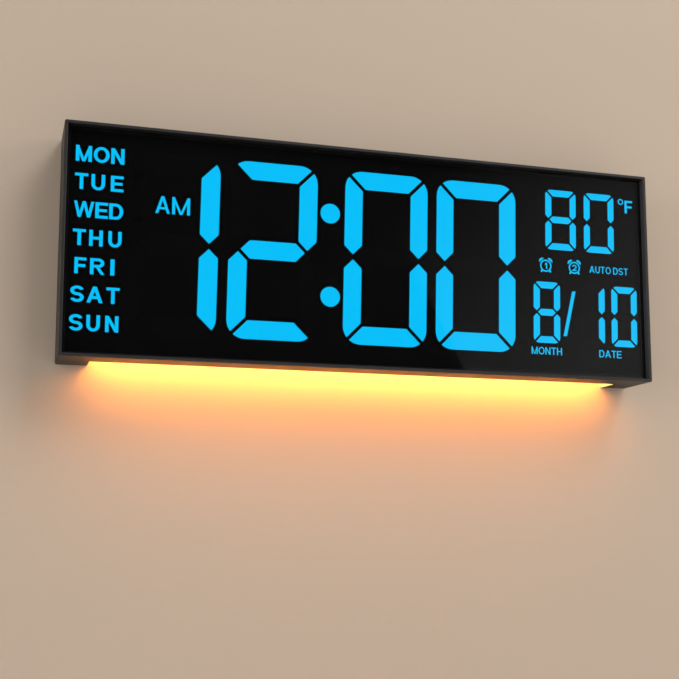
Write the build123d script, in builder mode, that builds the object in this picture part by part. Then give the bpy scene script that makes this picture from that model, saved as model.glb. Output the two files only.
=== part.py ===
from build123d import *
import os

# A digital wall clock with a segment display and a night light bar along its underside.
# Millimetres. The origin is the middle of the flat back, on the wall. +X is to the right seen from
# the front, +Y goes into the wall and +Z is up. Depths are measured out from the wall, towards the
# room, so a piece that is "out" 20 has y = -20.

# Case
case_width = 410.0
case_height = 150.0
frame_depth = 17.0
cover_depth = 21.0
case_corner_radius = 1.2
back_edge_radius = 1.4
rim_width = 2.1
rim_edge_radius = 0.4
cover_wall = 2.6
fit_gap = 0.15
cut_overrun = 1.0

# Lens and the ledge that it is glued to
lens_recess = 4.5
lens_thickness = 1.6
ledge_width = 2.0
ledge_thickness = 1.5

# Tongue of the rear cover inside the front frame
tongue_thickness = 1.2
tongue_height = 1.6
tongue_root = 2.0

# Case screws, their posts in the rear cover and bosses in the front frame
screw_radius = 1.3
screw_head_radius = 2.5
screw_head_height = 1.8
screw_length = 13.0
screw_gap = 0.1
screw_inset = 4.5
boss_radius = 3.0
boss_gap = 0.4
post_wall = 1.5
head_gap = 0.3
post_seat = 14.0
top_screw_shares = (-0.463, -0.158, 0.158, 0.463)

# Display stack behind the lens
face_gap = 0.3
film_thickness = 0.2
reflector_thickness = 5.5
insert_thickness = 1.6
insert_gap = 0.1
board_thickness = 1.6
board_edge_gap = 0.3

# Large digits
top_margin = 10.0
bottom_margin = 13.2
digit_spacing = 6.85
digit_side_stroke = 12.25
digit_bar_stroke = 12.25
digit_corner_radius = 12.0
digit_bar_gap = 2.5
digit_lean_share = 0.02
digit_pitch_share = 0.1635
colon_x_share = -0.0756
colon_reach_share = 0.0973
colon_dot_radius = 6.7
colon_z_shares = (0.2123, -0.1874)

# Small digits for the temperature, the month and the date
small_height_share = 0.3065
small_stroke = 4.65
small_corner_radius = 4.2
small_bar_gap = 1.5
temperature_pitch_share = 0.0752
temperature_spacing = 6.5
temperature_x_shares = (0.3476, 0.4228)
calendar_pitch_share = 0.0641
calendar_spacing = 5.5
calendar_z_share = -0.1975
month_x_shares = (0.2535, 0.3170)
date_x_shares = (0.4041, 0.4681)
slash_x_share = 0.3606
slash_width = 2.6
slash_reach = 7.5
slash_inset = 5.6

# Legend windows: places and sizes as shares of the window
weekday_x_share = -0.4551
weekday_z_shares = (0.391, 0.264, 0.137, 0.0105, -0.117, -0.246, -0.373)
weekday_size_shares = (0.0829, 0.092)
legend_shares = (
    (-0.3380, 0.186, 0.062, 0.100),
    (0.4754, 0.376, 0.035, 0.090),
    (0.3165, 0.038, 0.030, 0.085),
    (0.3720, 0.038, 0.030, 0.085),
    (0.4393, 0.035, 0.081, 0.048),
    (0.3143, -0.391, 0.064, 0.048),
    (0.4378, -0.391, 0.050, 0.048),
)
film_margin = 0.8

# Light emitters under the wells
emitter_length = 3.0
emitter_width = 2.2
emitter_height = 1.1
emitter_pitch = 20.0

# Receiver and sensor behind the lens, on the front of the display board
receiver_x_share = -0.3930
receiver_gap = 0.8
receiver_size = 6.4
receiver_height = 2.6
receiver_dome_radius = 2.2
sensor_z_share = 0.110
sensor_radius = 2.5
sensor_height = 2.0
window_gap = 0.8

# Screws of the display board and driver chips on its back
small_screw_radius = 0.9
small_head_radius = 1.9
small_head_height = 1.2
small_screw_length = 4.2
display_screw_pitch_share = 0.311
display_screw_inset = 5.6
chip_length = 18.0
chip_width = 7.5
chip_height = 2.2
chip_pitch_share = 0.36

# Night light recess in the underside, and the light bar under its ceiling
recess_end = 20.6
recess_height = 14.0
recess_wall = 2.0
bar_width = 5.6
bar_height = 5.4
bar_wall = 1.0
bar_end_gap = 3.0
bar_front_gap = 0.5
bar_board_thickness = 1.0
bar_board_gap = 0.2
bar_emitter_length = 3.4
bar_emitter_width = 2.6
bar_emitter_height = 0.9
bar_emitter_count = 24

# Keyholes for two wall screws
keyhole_spacing = 200.0
keyhole_z_share = 0.300
keyhole_entry_radius = 4.25
keyhole_slot_radius = 2.2
keyhole_rise = 8.5
keyhole_pocket_width = 15.0
keyhole_pocket_depth = 7.0
pocket_wall = 1.5

# Stand legs and their pockets
leg_x_share = 0.3780
leg_width = 26.0
leg_thickness = 5.4
leg_length = 43.0
leg_face_inset = 0.6
leg_side_gap = 0.6
leg_floor_gap = 0.8
leg_end_gap = 1.0
leg_pin_rise = 6.5
leg_pin_radius = 1.25
leg_pin_gap = 0.15
leg_pin_bearing = 1.6
leg_pin_fit = 0.05
leg_tip_radius = 2.0
leg_grip_radius = 7.0
leg_grip_depth = 2.2
leg_panel_depth = 1.2
leg_panel_margin = 4.0
pocket_side_wall = 2.4

# Push buttons and the panel that they stand in
button_names = ("set_button", "up_button", "down_button", "alarm_button", "light_button")
panel_x_share = 0.1830
button_pitch = 18.0
button_width = 7.0
button_length = 11.0
button_travel = 0.6
button_gap = 0.25
button_top_inset = 0.4
button_crown = 0.5
button_flange_width = 1.1
button_flange_thickness = 0.9
button_stem_gap = 0.1
panel_margin = 4.0
panel_recess = 1.5
panel_wall = 2.0
seat_gap = 0.05

# Main board behind the button panel
main_board_width = 112.0
main_board_height = 62.0
board_gap = 11.0
board_screw_inset = 5.5
board_post_radius = 2.8
switch_size = 6.0
switch_body_height = 3.5
switch_stem_radius = 1.7
control_chip_size = 9.0
crystal_radius = 1.5
crystal_length = 8.0
capacitor_radius = 3.2
capacitor_height = 7.0
buzzer_radius = 6.0
buzzer_height = 7.6
buzzer_hole_radius = 1.0
buzzer_inset = 20.0
sound_hole_radius = 0.9
sound_ring_radius = 3.4
sound_hole_count = 6
probe_radius = 1.5
probe_leg_radius = 0.3
probe_reach = 6.0
probe_inset = 15.0
link_pin_count = 8
link_pitch = 2.54
link_width = 2.6
link_base_height = 2.5
link_pin_size = 0.64
link_pin_reach = 5.0
link_socket_gap = 0.1
link_x_inset = 22.0

# Power inlet in a pocket that opens down into the recess
jack_width = 9.0
jack_height = 9.0
jack_length = 14.0
jack_bore_radius = 3.0
jack_bore_depth = 9.5
jack_pin_radius = 1.0
jack_pin_inset = 1.0
jack_overhang = 1.8
plug_pocket_width = 13.0
plug_pocket_height = 16.0
plug_pocket_depth = 12.4

# Back-up cell, its bay and its door
cell_radius = 10.0
cell_thickness = 3.2
bay_gap = 0.8
bay_wall = 1.6
door_x_share = -0.1500
door_z_share = -0.130
door_length = 46.0
door_width = 27.0
door_thickness = 1.7
door_corner_radius = 3.0
door_gap = 0.3
door_seat_gap = 0.1
door_bay_offset = 6.5
door_screw_inset = 6.0
door_boss_radius = 5.0
door_boss_height = 0.5
contact_spring = 0.9
contact_thickness = 0.3
contact_width = 4.0
contact_length = 9.0
contact_bump_radius = 1.4
contact_tail = 2.0
contact_slot_gap = 0.2

# Leads inside the case
lead_radius = 0.7
lead_spacing = 2.4
lead_bend_radius = 2.8
lead_overlap = 8.0
bar_lead_inset = 36.0

# Vents over the display board
vent_count = 11
vent_pitch = 9.0
vent_length = 12.0
vent_width = 1.8
vent_inset = 17.0

# Values worked out from the ones above
case_depth = frame_depth + cover_depth
half_width = case_width / 2
half_height = case_height / 2
parting = cover_depth
lens_front = case_depth - lens_recess
lens_back = lens_front - lens_thickness
ledge_back = lens_back - ledge_thickness
inner_width = case_width - 2 * rim_width
inner_height = case_height - 2 * rim_width
window_width = inner_width - 2 * ledge_width
window_height = inner_height - 2 * ledge_width
display_face = lens_back - face_gap
reflector_back = display_face - reflector_thickness
insert_back = display_face - insert_thickness
flange_front = ledge_back - fit_gap
display_board_back = reflector_back - board_thickness
main_board_front = display_board_back - board_gap
main_board_back = main_board_front - board_thickness
recess_ceiling = recess_height - half_height
liner_top = recess_ceiling + recess_wall
recess_length = case_width - 2 * recess_end
recess_depth = cover_depth - recess_wall
screw_row = half_height - screw_inset
screw_places = [(share * case_width, screw_row) for share in top_screw_shares]
screw_places += [(side * (half_width - recess_end / 2), -screw_row) for side in (-1, 1)]
post_radius = screw_head_radius + head_gap + post_wall
boss_top = flange_front - fit_gap
panel_x = panel_x_share * case_width
button_places = [panel_x + (i - (len(button_names) - 1) / 2) * button_pitch for i in range(len(button_names))]
main_board_bottom = liner_top + plug_pocket_height + jack_overhang
main_board_middle = main_board_bottom + main_board_height / 2
board_post_reach = (main_board_width / 2 - board_screw_inset, main_board_height / 2 - board_screw_inset)
board_post_places = [
    (panel_x + x * board_post_reach[0], main_board_middle + z * board_post_reach[1])
    for x in (-1, 1)
    for z in (-1, 1)
]
os.makedirs("parts", exist_ok=True)


def out(depth):
    """The plane that is parallel to the wall at a depth out from it, facing the room."""
    return Plane.XZ.offset(depth)


def across(x):
    """The plane square to the long axis at x. Its own axes are y and z."""
    return Plane.YZ.offset(x)


# Display artwork: every bar of every digit, cut by the same rule
def leaning_oblong(width, height, lean):
    """Corners of an oblong about the origin, whose top leans to the right by a share of its height."""
    reach = lean * height
    foot = [(-(width + reach) / 2, -height / 2), ((width - reach) / 2, -height / 2)]
    return foot + [(-x, -z) for x, z in foot]


def digit_bars(width, height, side_stroke, bar_stroke, corner_radius, bar_gap, grow=0.0):
    """The seven bars of one digit about the origin, by letter, each grown by the same edge."""
    side = side_stroke + 2 * grow
    gap = bar_gap - 2 * grow
    hole_height = (height - 3 * bar_stroke) / 2 - 2 * grow
    hole_middle = (height - bar_stroke) / 4
    with BuildSketch() as bars:
        Polygon(*leaning_oblong(width + 2 * grow, height + 2 * grow, digit_lean_share))
        fillet(bars.vertices(), corner_radius + grow)
        hole = leaning_oblong(width - 2 * side_stroke - 2 * grow, hole_height, digit_lean_share)
        for z_side in (-1, 1):
            with Locations((z_side * digit_lean_share * hole_middle, z_side * hole_middle)):
                Polygon(*hole, mode=Mode.SUBTRACT)
            for x_side in (-1, 1):
                corner_z = z_side * height / 2
                with Locations((x_side * width / 2 + digit_lean_share * corner_z, corner_z)):
                    Rectangle(4 * side, gap, rotation=45 * x_side * z_side, mode=Mode.SUBTRACT)
                with Locations((x_side * (width - side_stroke) / 2, 0)):
                    Rectangle(2 * side, gap, rotation=45 * z_side, mode=Mode.SUBTRACT)
    faces = bars.sketch.faces().sort_by(SortBy.AREA)[-7:]
    rows = faces.sort_by(Axis.Y)
    upper = ShapeList(rows[4:6]).sort_by(Axis.X)
    lower = ShapeList(rows[1:3]).sort_by(Axis.X)
    letters = {"d": rows[0], "e": lower[0], "c": lower[1], "g": rows[3]}
    letters.update({"f": upper[0], "b": upper[1], "a": rows[6]})
    return letters


def large_digit(grow=0.0):
    """The bars of a large digit."""
    width = digit_pitch_share * window_width - digit_spacing
    height = window_height - top_margin - bottom_margin
    strokes = (digit_side_stroke, digit_bar_stroke)
    return digit_bars(width, height, *strokes, digit_corner_radius, digit_bar_gap, grow)


def small_digit(pitch_share, spacing, grow=0.0):
    """The bars of a temperature or calendar digit."""
    width = pitch_share * window_width - spacing
    height = small_height_share * window_height
    return digit_bars(width, height, small_stroke, small_stroke, small_corner_radius, small_bar_gap, grow)


def placed(faces, x, z):
    """Faces moved to a place on the display."""
    return [face.moved(Location((x, z, 0))) for face in faces]


# Each digit: its readout, its form, its place, the bars that it has and those that are lit
large_z = (bottom_margin - top_margin) / 2
small_top_z = window_height / 2 - top_margin - small_height_share * window_height / 2
calendar_z = calendar_z_share * window_height
colon_x = colon_x_share * window_width
colon_reach = colon_reach_share * window_width
digit_pitch = digit_pitch_share * window_width
digits = [
    ("hour_tens", "large", colon_x - colon_reach - digit_pitch, large_z, "abcdeg", "bc"),
    ("hour_ones", "large", colon_x - colon_reach, large_z, "abcdefg", "abged"),
    ("minute_tens", "large", colon_x + colon_reach, large_z, "abcdefg", "abcdef"),
    ("minute_ones", "large", colon_x + colon_reach + digit_pitch, large_z, "abcdefg", "abcdef"),
    ("temperature", "temperature", temperature_x_shares[0] * window_width, small_top_z, "abcdefg", "abcdefg"),
    ("temperature", "temperature", temperature_x_shares[1] * window_width, small_top_z, "abcdefg", "abcdef"),
    ("month", "calendar", month_x_shares[0] * window_width, calendar_z, "bc", ""),
    ("month", "calendar", month_x_shares[1] * window_width, calendar_z, "abcdefg", "abcdefg"),
    ("date", "calendar", date_x_shares[0] * window_width, calendar_z, "abcdeg", "bc"),
    ("date", "calendar", date_x_shares[1] * window_width, calendar_z, "abcdefg", "abcdef"),
]


def forms(grow):
    """The three digit forms, grown by one edge."""
    return {
        "large": large_digit(grow),
        "temperature": small_digit(temperature_pitch_share, temperature_spacing, grow),
        "calendar": small_digit(calendar_pitch_share, calendar_spacing, grow),
    }


def digit_faces(form_set, wanted):
    """The faces of the bars that a test on a digit and a letter picks."""
    faces = []
    for digit in digits:
        bars = form_set[digit[1]]
        picked = [bars[letter] for letter in digit[4] if wanted(digit, letter)]
        faces += placed(picked, digit[2], digit[3])
    return faces


def colon_faces(grow):
    """The two round dots between the hours and the minutes."""
    with BuildSketch() as dots:
        with Locations(*[(colon_x, share * window_height) for share in colon_z_shares]):
            Circle(colon_dot_radius + grow)
    return dots.sketch.faces()


slash_place = (slash_x_share * window_width, calendar_z)
slash_rise = small_height_share * window_height - 2 * slash_inset


def slash_faces(grow):
    """The leaning stroke between the month and the date."""
    with BuildSketch() as stroke:
        with Locations(slash_place):
            Polygon(*leaning_oblong(slash_width + 2 * grow, slash_rise + 2 * grow, slash_reach / slash_rise))
    return stroke.sketch.faces()


weekday_size = (weekday_size_shares[0] * window_width, weekday_size_shares[1] * window_height)
weekday_x = weekday_x_share * window_width
with BuildSketch() as legend_windows:
    with Locations(*[(weekday_x, share * window_height) for share in weekday_z_shares]):
        Rectangle(*weekday_size)
    for x_share, z_share, width_share, height_share in legend_shares:
        with Locations((x_share * window_width, z_share * window_height)):
            Rectangle(width_share * window_width, height_share * window_height)
legend_faces = legend_windows.sketch.faces()
bar_forms = forms(0.0)
well_forms = forms(insert_gap)
well_faces = digit_faces(well_forms, lambda digit, letter: True)
well_faces += colon_faces(insert_gap)
well_faces += legend_faces
receiver_window = receiver_size + window_gap
receiver_top = window_height / 2 - top_margin - digit_bar_stroke - receiver_gap
receiver_place = (receiver_x_share * window_width, receiver_top - receiver_window / 2)
sensor_place = (receiver_x_share * window_width, sensor_z_share * window_height)
display_screw_row = window_height / 2 - display_screw_inset
display_screw_pitch = (display_screw_pitch_share * window_width, 2 * display_screw_row)

# Front frame: the rim, its inner wall, the ledge for the lens and six screw bosses
with BuildPart() as front_frame:
    with BuildSketch(out(parting)):
        RectangleRounded(case_width, case_height, case_corner_radius)
        Rectangle(inner_width, inner_height, mode=Mode.SUBTRACT)
    extrude(amount=frame_depth)
    fillet(front_frame.faces().sort_by(Axis.Y)[0].edges(), rim_edge_radius)
    with BuildSketch(out(ledge_back)):
        Rectangle(inner_width, inner_height)
        Rectangle(window_width, window_height, mode=Mode.SUBTRACT)
    extrude(amount=ledge_thickness)
    with BuildSketch(out(parting)):
        with Locations(*screw_places):
            Circle(boss_radius)
    extrude(amount=boss_top - parting)
    with BuildSketch(out(parting)):
        with Locations(*screw_places):
            Circle(screw_radius + screw_gap)
    extrude(amount=boss_top - parting - boss_gap, mode=Mode.SUBTRACT)
front_frame.part.label = "front_frame"
export_step(front_frame.part, "parts/front_frame.step")

# Lens: a plain sheet that drops into the frame against the ledge
with BuildPart() as front_lens:
    with BuildSketch(out(lens_back)):
        Rectangle(inner_width - 2 * fit_gap, inner_height - 2 * fit_gap)
    extrude(amount=lens_thickness)
front_lens.part.label = "front_lens"
export_step(front_lens.part, "parts/front_lens.step")

# Reflector block: a stepped slab with one well for each bar and window, notched round the bosses
with BuildPart() as reflector_block:
    with BuildSketch(out(reflector_back)):
        Rectangle(inner_width - 2 * board_edge_gap, inner_height - 2 * board_edge_gap)
        with Locations(*screw_places):
            Circle(boss_radius + boss_gap, mode=Mode.SUBTRACT)
    extrude(amount=flange_front - reflector_back)
    with BuildSketch(out(flange_front)):
        Rectangle(window_width - 2 * fit_gap, window_height - 2 * fit_gap)
    extrude(amount=display_face - flange_front)
    with BuildSketch(out(reflector_back)):
        add(well_faces)
        add(slash_faces(insert_gap))
        with Locations(receiver_place):
            Rectangle(receiver_window, receiver_window)
        with Locations(sensor_place):
            Circle(sensor_radius + window_gap / 2)
    extrude(amount=reflector_thickness, mode=Mode.SUBTRACT)
    with BuildSketch(out(reflector_back)):
        with Locations(slash_place):
            Rectangle(emitter_width + window_gap, emitter_length + window_gap)
    extrude(amount=emitter_height + window_gap, mode=Mode.SUBTRACT)
    with BuildSketch(out(reflector_back)):
        with GridLocations(*display_screw_pitch, 3, 2):
            Circle(small_screw_radius + screw_gap)
    extrude(amount=small_screw_length - board_thickness + boss_gap, mode=Mode.SUBTRACT)
reflector_block.part.label = "reflector_block"
export_step(reflector_block.part, "parts/reflector_block.step")


# Diffuser inserts: one node for each readout, and one for all the bars that are off
def insert_node(name, faces):
    """Inserts that fill the front of their wells, flush with the face of the reflector."""
    with BuildPart() as inserts:
        with BuildSketch(out(insert_back)):
            add(faces)
        extrude(amount=insert_thickness)
    inserts.part.label = name
    export_step(inserts.part, "parts/" + name + ".step")


for readout in ("hour_tens", "hour_ones", "minute_tens", "minute_ones", "temperature", "month", "date"):
    lit_bars = digit_faces(bar_forms, lambda digit, letter: digit[0] == readout and letter in digit[5])
    insert_node(readout + "_segments", lit_bars)
insert_node("unlit_segments", digit_faces(bar_forms, lambda digit, letter: letter not in digit[5]))
insert_node("colon_dots", colon_faces(0.0))
insert_node("date_slash", slash_faces(0.0))

# Legend film: thin black strips on the face, over the windows of the words and signs
with BuildPart() as legend_film:
    with BuildSketch(out(display_face)):
        with Locations((weekday_x, (weekday_z_shares[0] + weekday_z_shares[-1]) / 2 * window_height)):
            weekday_span = (weekday_z_shares[0] - weekday_z_shares[-1]) * window_height
            Rectangle(weekday_size[0] + 2 * film_margin, weekday_span + weekday_size[1] + 2 * film_margin)
        for x_share, z_share, width_share, height_share in legend_shares:
            with Locations((x_share * window_width, z_share * window_height)):
                film_height = height_share * window_height + 2 * film_margin
                Rectangle(width_share * window_width + 2 * film_margin, film_height)
    extrude(amount=film_thickness)
legend_film.part.label = "legend_film"
export_step(legend_film.part, "parts/legend_film.step")

# Display board: the carrier of the emitters, notched round the bosses, and drilled for its screws
with BuildPart() as display_board:
    with BuildSketch(out(display_board_back)):
        Rectangle(inner_width - 2 * board_edge_gap, inner_height - 2 * board_edge_gap)
        with Locations(*screw_places):
            Circle(boss_radius + boss_gap, mode=Mode.SUBTRACT)
        with GridLocations(*display_screw_pitch, 3, 2):
            Circle(small_screw_radius + screw_gap, mode=Mode.SUBTRACT)
    extrude(amount=board_thickness)
display_board.part.label = "display_board"
export_step(display_board.part, "parts/display_board.step")


# Emitters: spaced along each bar or window, in the floor of its well
def emitter_places(face):
    """Places along the longer side of a face, about one for each pitch."""
    size = face.bounding_box().size
    middle = face.center()
    length = max(size.X, size.Y)
    count = max(1, round(length / emitter_pitch))
    steps = [(i - (count - 1) / 2) * length / count for i in range(count)]
    if size.X > size.Y:
        return [(middle.X + step, middle.Y) for step in steps], 0
    return [(middle.X, middle.Y + step) for step in steps], 90


with BuildPart() as display_leds:
    with BuildSketch(out(reflector_back)):
        for face in well_faces:
            places, turn = emitter_places(face)
            with Locations(*places):
                Rectangle(emitter_length, emitter_width, rotation=turn)
        with Locations(slash_place):
            Rectangle(emitter_width, emitter_length)
    extrude(amount=emitter_height)
display_leds.part.label = "display_leds"
export_step(display_leds.part, "parts/display_leds.step")

# Infrared receiver: a square body with a round dome, looking out through its window
with BuildPart() as ir_receiver:
    with BuildSketch(out(reflector_back)):
        with Locations(receiver_place):
            Rectangle(receiver_size, receiver_size)
    extrude(amount=receiver_height)
    with BuildSketch(out(reflector_back + receiver_height)):
        with Locations(receiver_place):
            Circle(receiver_dome_radius)
    extrude(amount=receiver_dome_radius / 2)
    fillet(ir_receiver.faces().sort_by(Axis.Y)[0].edges(), receiver_dome_radius / 3)
ir_receiver.part.label = "ir_receiver"
export_step(ir_receiver.part, "parts/ir_receiver.step")

# Light sensor: a round cell that dims the display in the dark
with BuildPart() as light_sensor:
    with BuildSketch(out(reflector_back)):
        with Locations(sensor_place):
            Circle(sensor_radius)
    extrude(amount=sensor_height)
light_sensor.part.label = "light_sensor"
export_step(light_sensor.part, "parts/light_sensor.step")

# Driver chips on the back of the display board
with BuildPart() as driver_chips:
    with BuildSketch(out(display_board_back)):
        with GridLocations(chip_pitch_share * case_width, 0, 2, 1):
            Rectangle(chip_length, chip_width)
    extrude(amount=-chip_height)
driver_chips.part.label = "driver_chips"
export_step(driver_chips.part, "parts/driver_chips.step")

# Screws that hold the display board to the reflector
with BuildPart() as display_screws:
    with BuildSketch(out(display_board_back)):
        with GridLocations(*display_screw_pitch, 3, 2):
            Circle(small_head_radius)
    extrude(amount=-small_head_height)
    with BuildSketch(out(display_board_back)):
        with GridLocations(*display_screw_pitch, 3, 2):
            Circle(small_screw_radius)
    extrude(amount=small_screw_length)
display_screws.part.label = "display_screws"
export_step(display_screws.part, "parts/display_screws.step")

# Values of the rear cover's own features
tongue_inset = rim_width + fit_gap + tongue_thickness
tongue_inner = (case_width - 2 * tongue_inset, case_height - 2 * tongue_inset)
keyhole_places = [(side * keyhole_spacing / 2, keyhole_z_share * case_height) for side in (-1, 1)]
keyhole_pocket_height = keyhole_rise + 2 * keyhole_entry_radius + keyhole_slot_radius
leg_pin_out = leg_face_inset + leg_thickness / 2
leg_pin_z = liner_top + leg_pin_rise
leg_pocket_top = leg_pin_z + leg_length + leg_end_gap
leg_pocket_width = leg_width + 2 * leg_side_gap
leg_pocket_depth = leg_face_inset + leg_thickness + leg_floor_gap
leg_places = [side * leg_x_share * case_width for side in (-1, 1)]
leg_pocket_height = leg_pocket_top - liner_top
panel_length = (len(button_names) - 1) * button_pitch + button_width + 2 * panel_margin
panel_height = button_length + 2 * panel_margin
panel_inner = panel_recess + panel_wall
button_flange_front = panel_inner + seat_gap + button_flange_thickness
jack_front = main_board_bottom - jack_overhang
door_place = (door_x_share * case_width, door_z_share * case_height)
bay_place = (door_place[0] - door_bay_offset, door_place[1])
door_screw_place = (door_place[0] + door_length / 2 - door_screw_inset, door_place[1])
door_recess = door_thickness + door_seat_gap
cell_back = door_thickness + door_boss_height + door_seat_gap
bay_floor = cell_back + cell_thickness + contact_spring
bay_radius = cell_radius + bay_gap
buzzer_place = (panel_x + main_board_width / 2 - buzzer_inset, main_board_bottom + buzzer_inset / 2)
probe_place = (panel_x - main_board_width / 2 + probe_inset, main_board_bottom + probe_inset / 2)
vent_row = half_height - vent_inset
bar_middle_out = recess_depth - bar_front_gap - bar_width / 2
bar_length = recess_length - 2 * bar_end_gap
bar_board_width = bar_width - 2 * bar_wall - 2 * bar_board_gap
bar_board_length = bar_length - 2 * bar_wall - 2 * bar_board_gap
lead_out = main_board_front + lead_radius + seat_gap
bar_lead_x = panel_x - main_board_width / 2 + bar_lead_inset
bar_lead_places = [bar_lead_x + side * lead_spacing / 2 for side in (-1, 1)]
plus_place = (bay_place[0] + cell_radius + bay_gap / 2, bay_place[1])
minus_place = (bay_place[0] + contact_length / 2, bay_place[1] - lead_spacing)

# Rear cover: a tray with the recess let into its lower edge, and pockets for all that the back holds
with BuildPart() as rear_cover:
    with BuildSketch(out(0)):
        RectangleRounded(case_width, case_height, case_corner_radius)
    extrude(amount=cover_depth)
    fillet(rear_cover.faces().sort_by(Axis.Y)[-1].edges(), back_edge_radius)
    with BuildSketch(out(cover_wall)):
        Rectangle(case_width - 2 * cover_wall, case_height - 2 * cover_wall)
    extrude(amount=cover_depth, mode=Mode.SUBTRACT)
    # Tongue round the open edge
    with BuildSketch(out(parting - tongue_root)):
        Rectangle(case_width - cover_wall, case_height - cover_wall)
        Rectangle(*tongue_inner, mode=Mode.SUBTRACT)
    extrude(amount=tongue_root)
    with BuildSketch(out(parting)):
        Rectangle(inner_width - 2 * fit_gap, inner_height - 2 * fit_gap)
        Rectangle(*tongue_inner, mode=Mode.SUBTRACT)
    extrude(amount=tongue_height)
    with BuildSketch(out(parting)):
        with Locations(*screw_places):
            Circle(boss_radius + boss_gap)
    extrude(amount=tongue_height, mode=Mode.SUBTRACT)
    # Liner of the recess, screw posts, board posts and the walls of each pocket
    with BuildSketch(out(cover_wall)):
        with Locations((0, (liner_top - half_height) / 2)):
            Rectangle(recess_length + 2 * recess_wall, liner_top + half_height)
        with Locations(*screw_places):
            Circle(post_radius)
    extrude(amount=cover_depth - cover_wall)
    with BuildSketch(out(cover_wall)):
        with Locations(*board_post_places):
            Circle(board_post_radius)
    extrude(amount=main_board_back - cover_wall)
    with BuildSketch(out(cover_wall)):
        with Locations(*[(x, z + keyhole_rise / 2) for x, z in keyhole_places]):
            Rectangle(keyhole_pocket_width + 2 * pocket_wall, keyhole_pocket_height + 2 * pocket_wall)
    extrude(amount=keyhole_pocket_depth + pocket_wall)
    with BuildSketch(out(cover_wall)):
        with Locations(*[(x, liner_top + (leg_pocket_height + pocket_wall) / 2) for x in leg_places]):
            Rectangle(leg_pocket_width + 2 * pocket_side_wall, leg_pocket_height + pocket_wall)
    extrude(amount=leg_pocket_depth + pocket_wall - cover_wall)
    with BuildSketch(out(cover_wall)):
        with Locations((panel_x, 0)):
            RectangleRounded(panel_length + 2 * pocket_wall, panel_height + 2 * pocket_wall, panel_margin)
    extrude(amount=panel_inner - cover_wall)
    with BuildSketch(out(cover_wall)):
        with Locations((panel_x, liner_top + (plug_pocket_height + pocket_wall) / 2)):
            Rectangle(plug_pocket_width + 2 * pocket_wall, plug_pocket_height + pocket_wall)
    extrude(amount=plug_pocket_depth + pocket_wall - cover_wall)
    with BuildSketch(out(cover_wall)):
        with Locations(bay_place):
            Circle(bay_radius + bay_wall)
        with Locations(door_screw_place):
            Circle(board_post_radius)
    extrude(amount=bay_floor + bay_wall - cover_wall)
    # Recess, open to the wall and downwards
    with BuildSketch(out(-cut_overrun)):
        with Locations((0, recess_ceiling - (recess_height + cut_overrun) / 2)):
            Rectangle(recess_length, recess_height + cut_overrun)
    extrude(amount=recess_depth + cut_overrun, mode=Mode.SUBTRACT)
    # Case screw holes, bored deep so that the heads stand inside
    with BuildSketch(out(-cut_overrun)):
        with Locations(*screw_places):
            Circle(screw_head_radius + head_gap)
    extrude(amount=post_seat + cut_overrun, mode=Mode.SUBTRACT)
    with BuildSketch(out(0)):
        with Locations(*screw_places):
            Circle(screw_radius + screw_gap)
    extrude(amount=cover_depth, mode=Mode.SUBTRACT)
    with BuildSketch(out(cover_wall)):
        with Locations(*board_post_places):
            Circle(small_screw_radius + screw_gap)
    extrude(amount=main_board_back - cover_wall, mode=Mode.SUBTRACT)
    # Keyholes and their pockets
    with BuildSketch(out(cover_wall)):
        with Locations(*[(x, z + keyhole_rise / 2) for x, z in keyhole_places]):
            Rectangle(keyhole_pocket_width, keyhole_pocket_height)
    extrude(amount=keyhole_pocket_depth, mode=Mode.SUBTRACT)
    with BuildSketch(out(-cut_overrun)):
        with Locations(*keyhole_places):
            Circle(keyhole_entry_radius)
        with Locations(*[(x, z + keyhole_rise / 2) for x, z in keyhole_places]):
            SlotCenterToCenter(keyhole_rise, 2 * keyhole_slot_radius, rotation=90)
    extrude(amount=cover_wall + 2 * cut_overrun, mode=Mode.SUBTRACT)
    # Leg pockets and the bearings of the leg pins
    with BuildSketch(out(-cut_overrun)):
        with Locations(*[(x, liner_top + leg_pocket_height / 2) for x in leg_places]):
            Rectangle(leg_pocket_width, leg_pocket_height)
    extrude(amount=leg_pocket_depth + cut_overrun, mode=Mode.SUBTRACT)
    for x in leg_places:
        with BuildSketch(across(x - leg_pocket_width / 2 - leg_pin_bearing)):
            with Locations((-leg_pin_out, leg_pin_z)):
                Circle(leg_pin_radius + leg_pin_fit)
        extrude(amount=leg_pocket_width + 2 * leg_pin_bearing, mode=Mode.SUBTRACT)
    # Button panel and its holes
    with BuildSketch(out(-cut_overrun)):
        with Locations((panel_x, 0)):
            RectangleRounded(panel_length, panel_height, panel_margin)
    extrude(amount=panel_recess + cut_overrun, mode=Mode.SUBTRACT)
    with BuildSketch(out(0)):
        with Locations(*[(x, 0) for x in button_places]):
            SlotOverall(button_length + 2 * button_gap, button_width + 2 * button_gap, rotation=90)
    extrude(amount=panel_inner, mode=Mode.SUBTRACT)
    # Plug pocket, open to the wall and down into the recess, with the window of the inlet at its top
    with BuildSketch(out(-cut_overrun)):
        with Locations((panel_x, recess_ceiling + (jack_front - recess_ceiling) / 2)):
            Rectangle(plug_pocket_width, jack_front - recess_ceiling)
    extrude(amount=plug_pocket_depth + cut_overrun, mode=Mode.SUBTRACT)
    with BuildSketch(out(main_board_back - jack_height - fit_gap)):
        with Locations((panel_x, jack_front + pocket_wall / 2)):
            Rectangle(jack_width + 2 * fit_gap, 2 * pocket_wall)
    extrude(amount=jack_height + 2 * fit_gap, mode=Mode.SUBTRACT)
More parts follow.
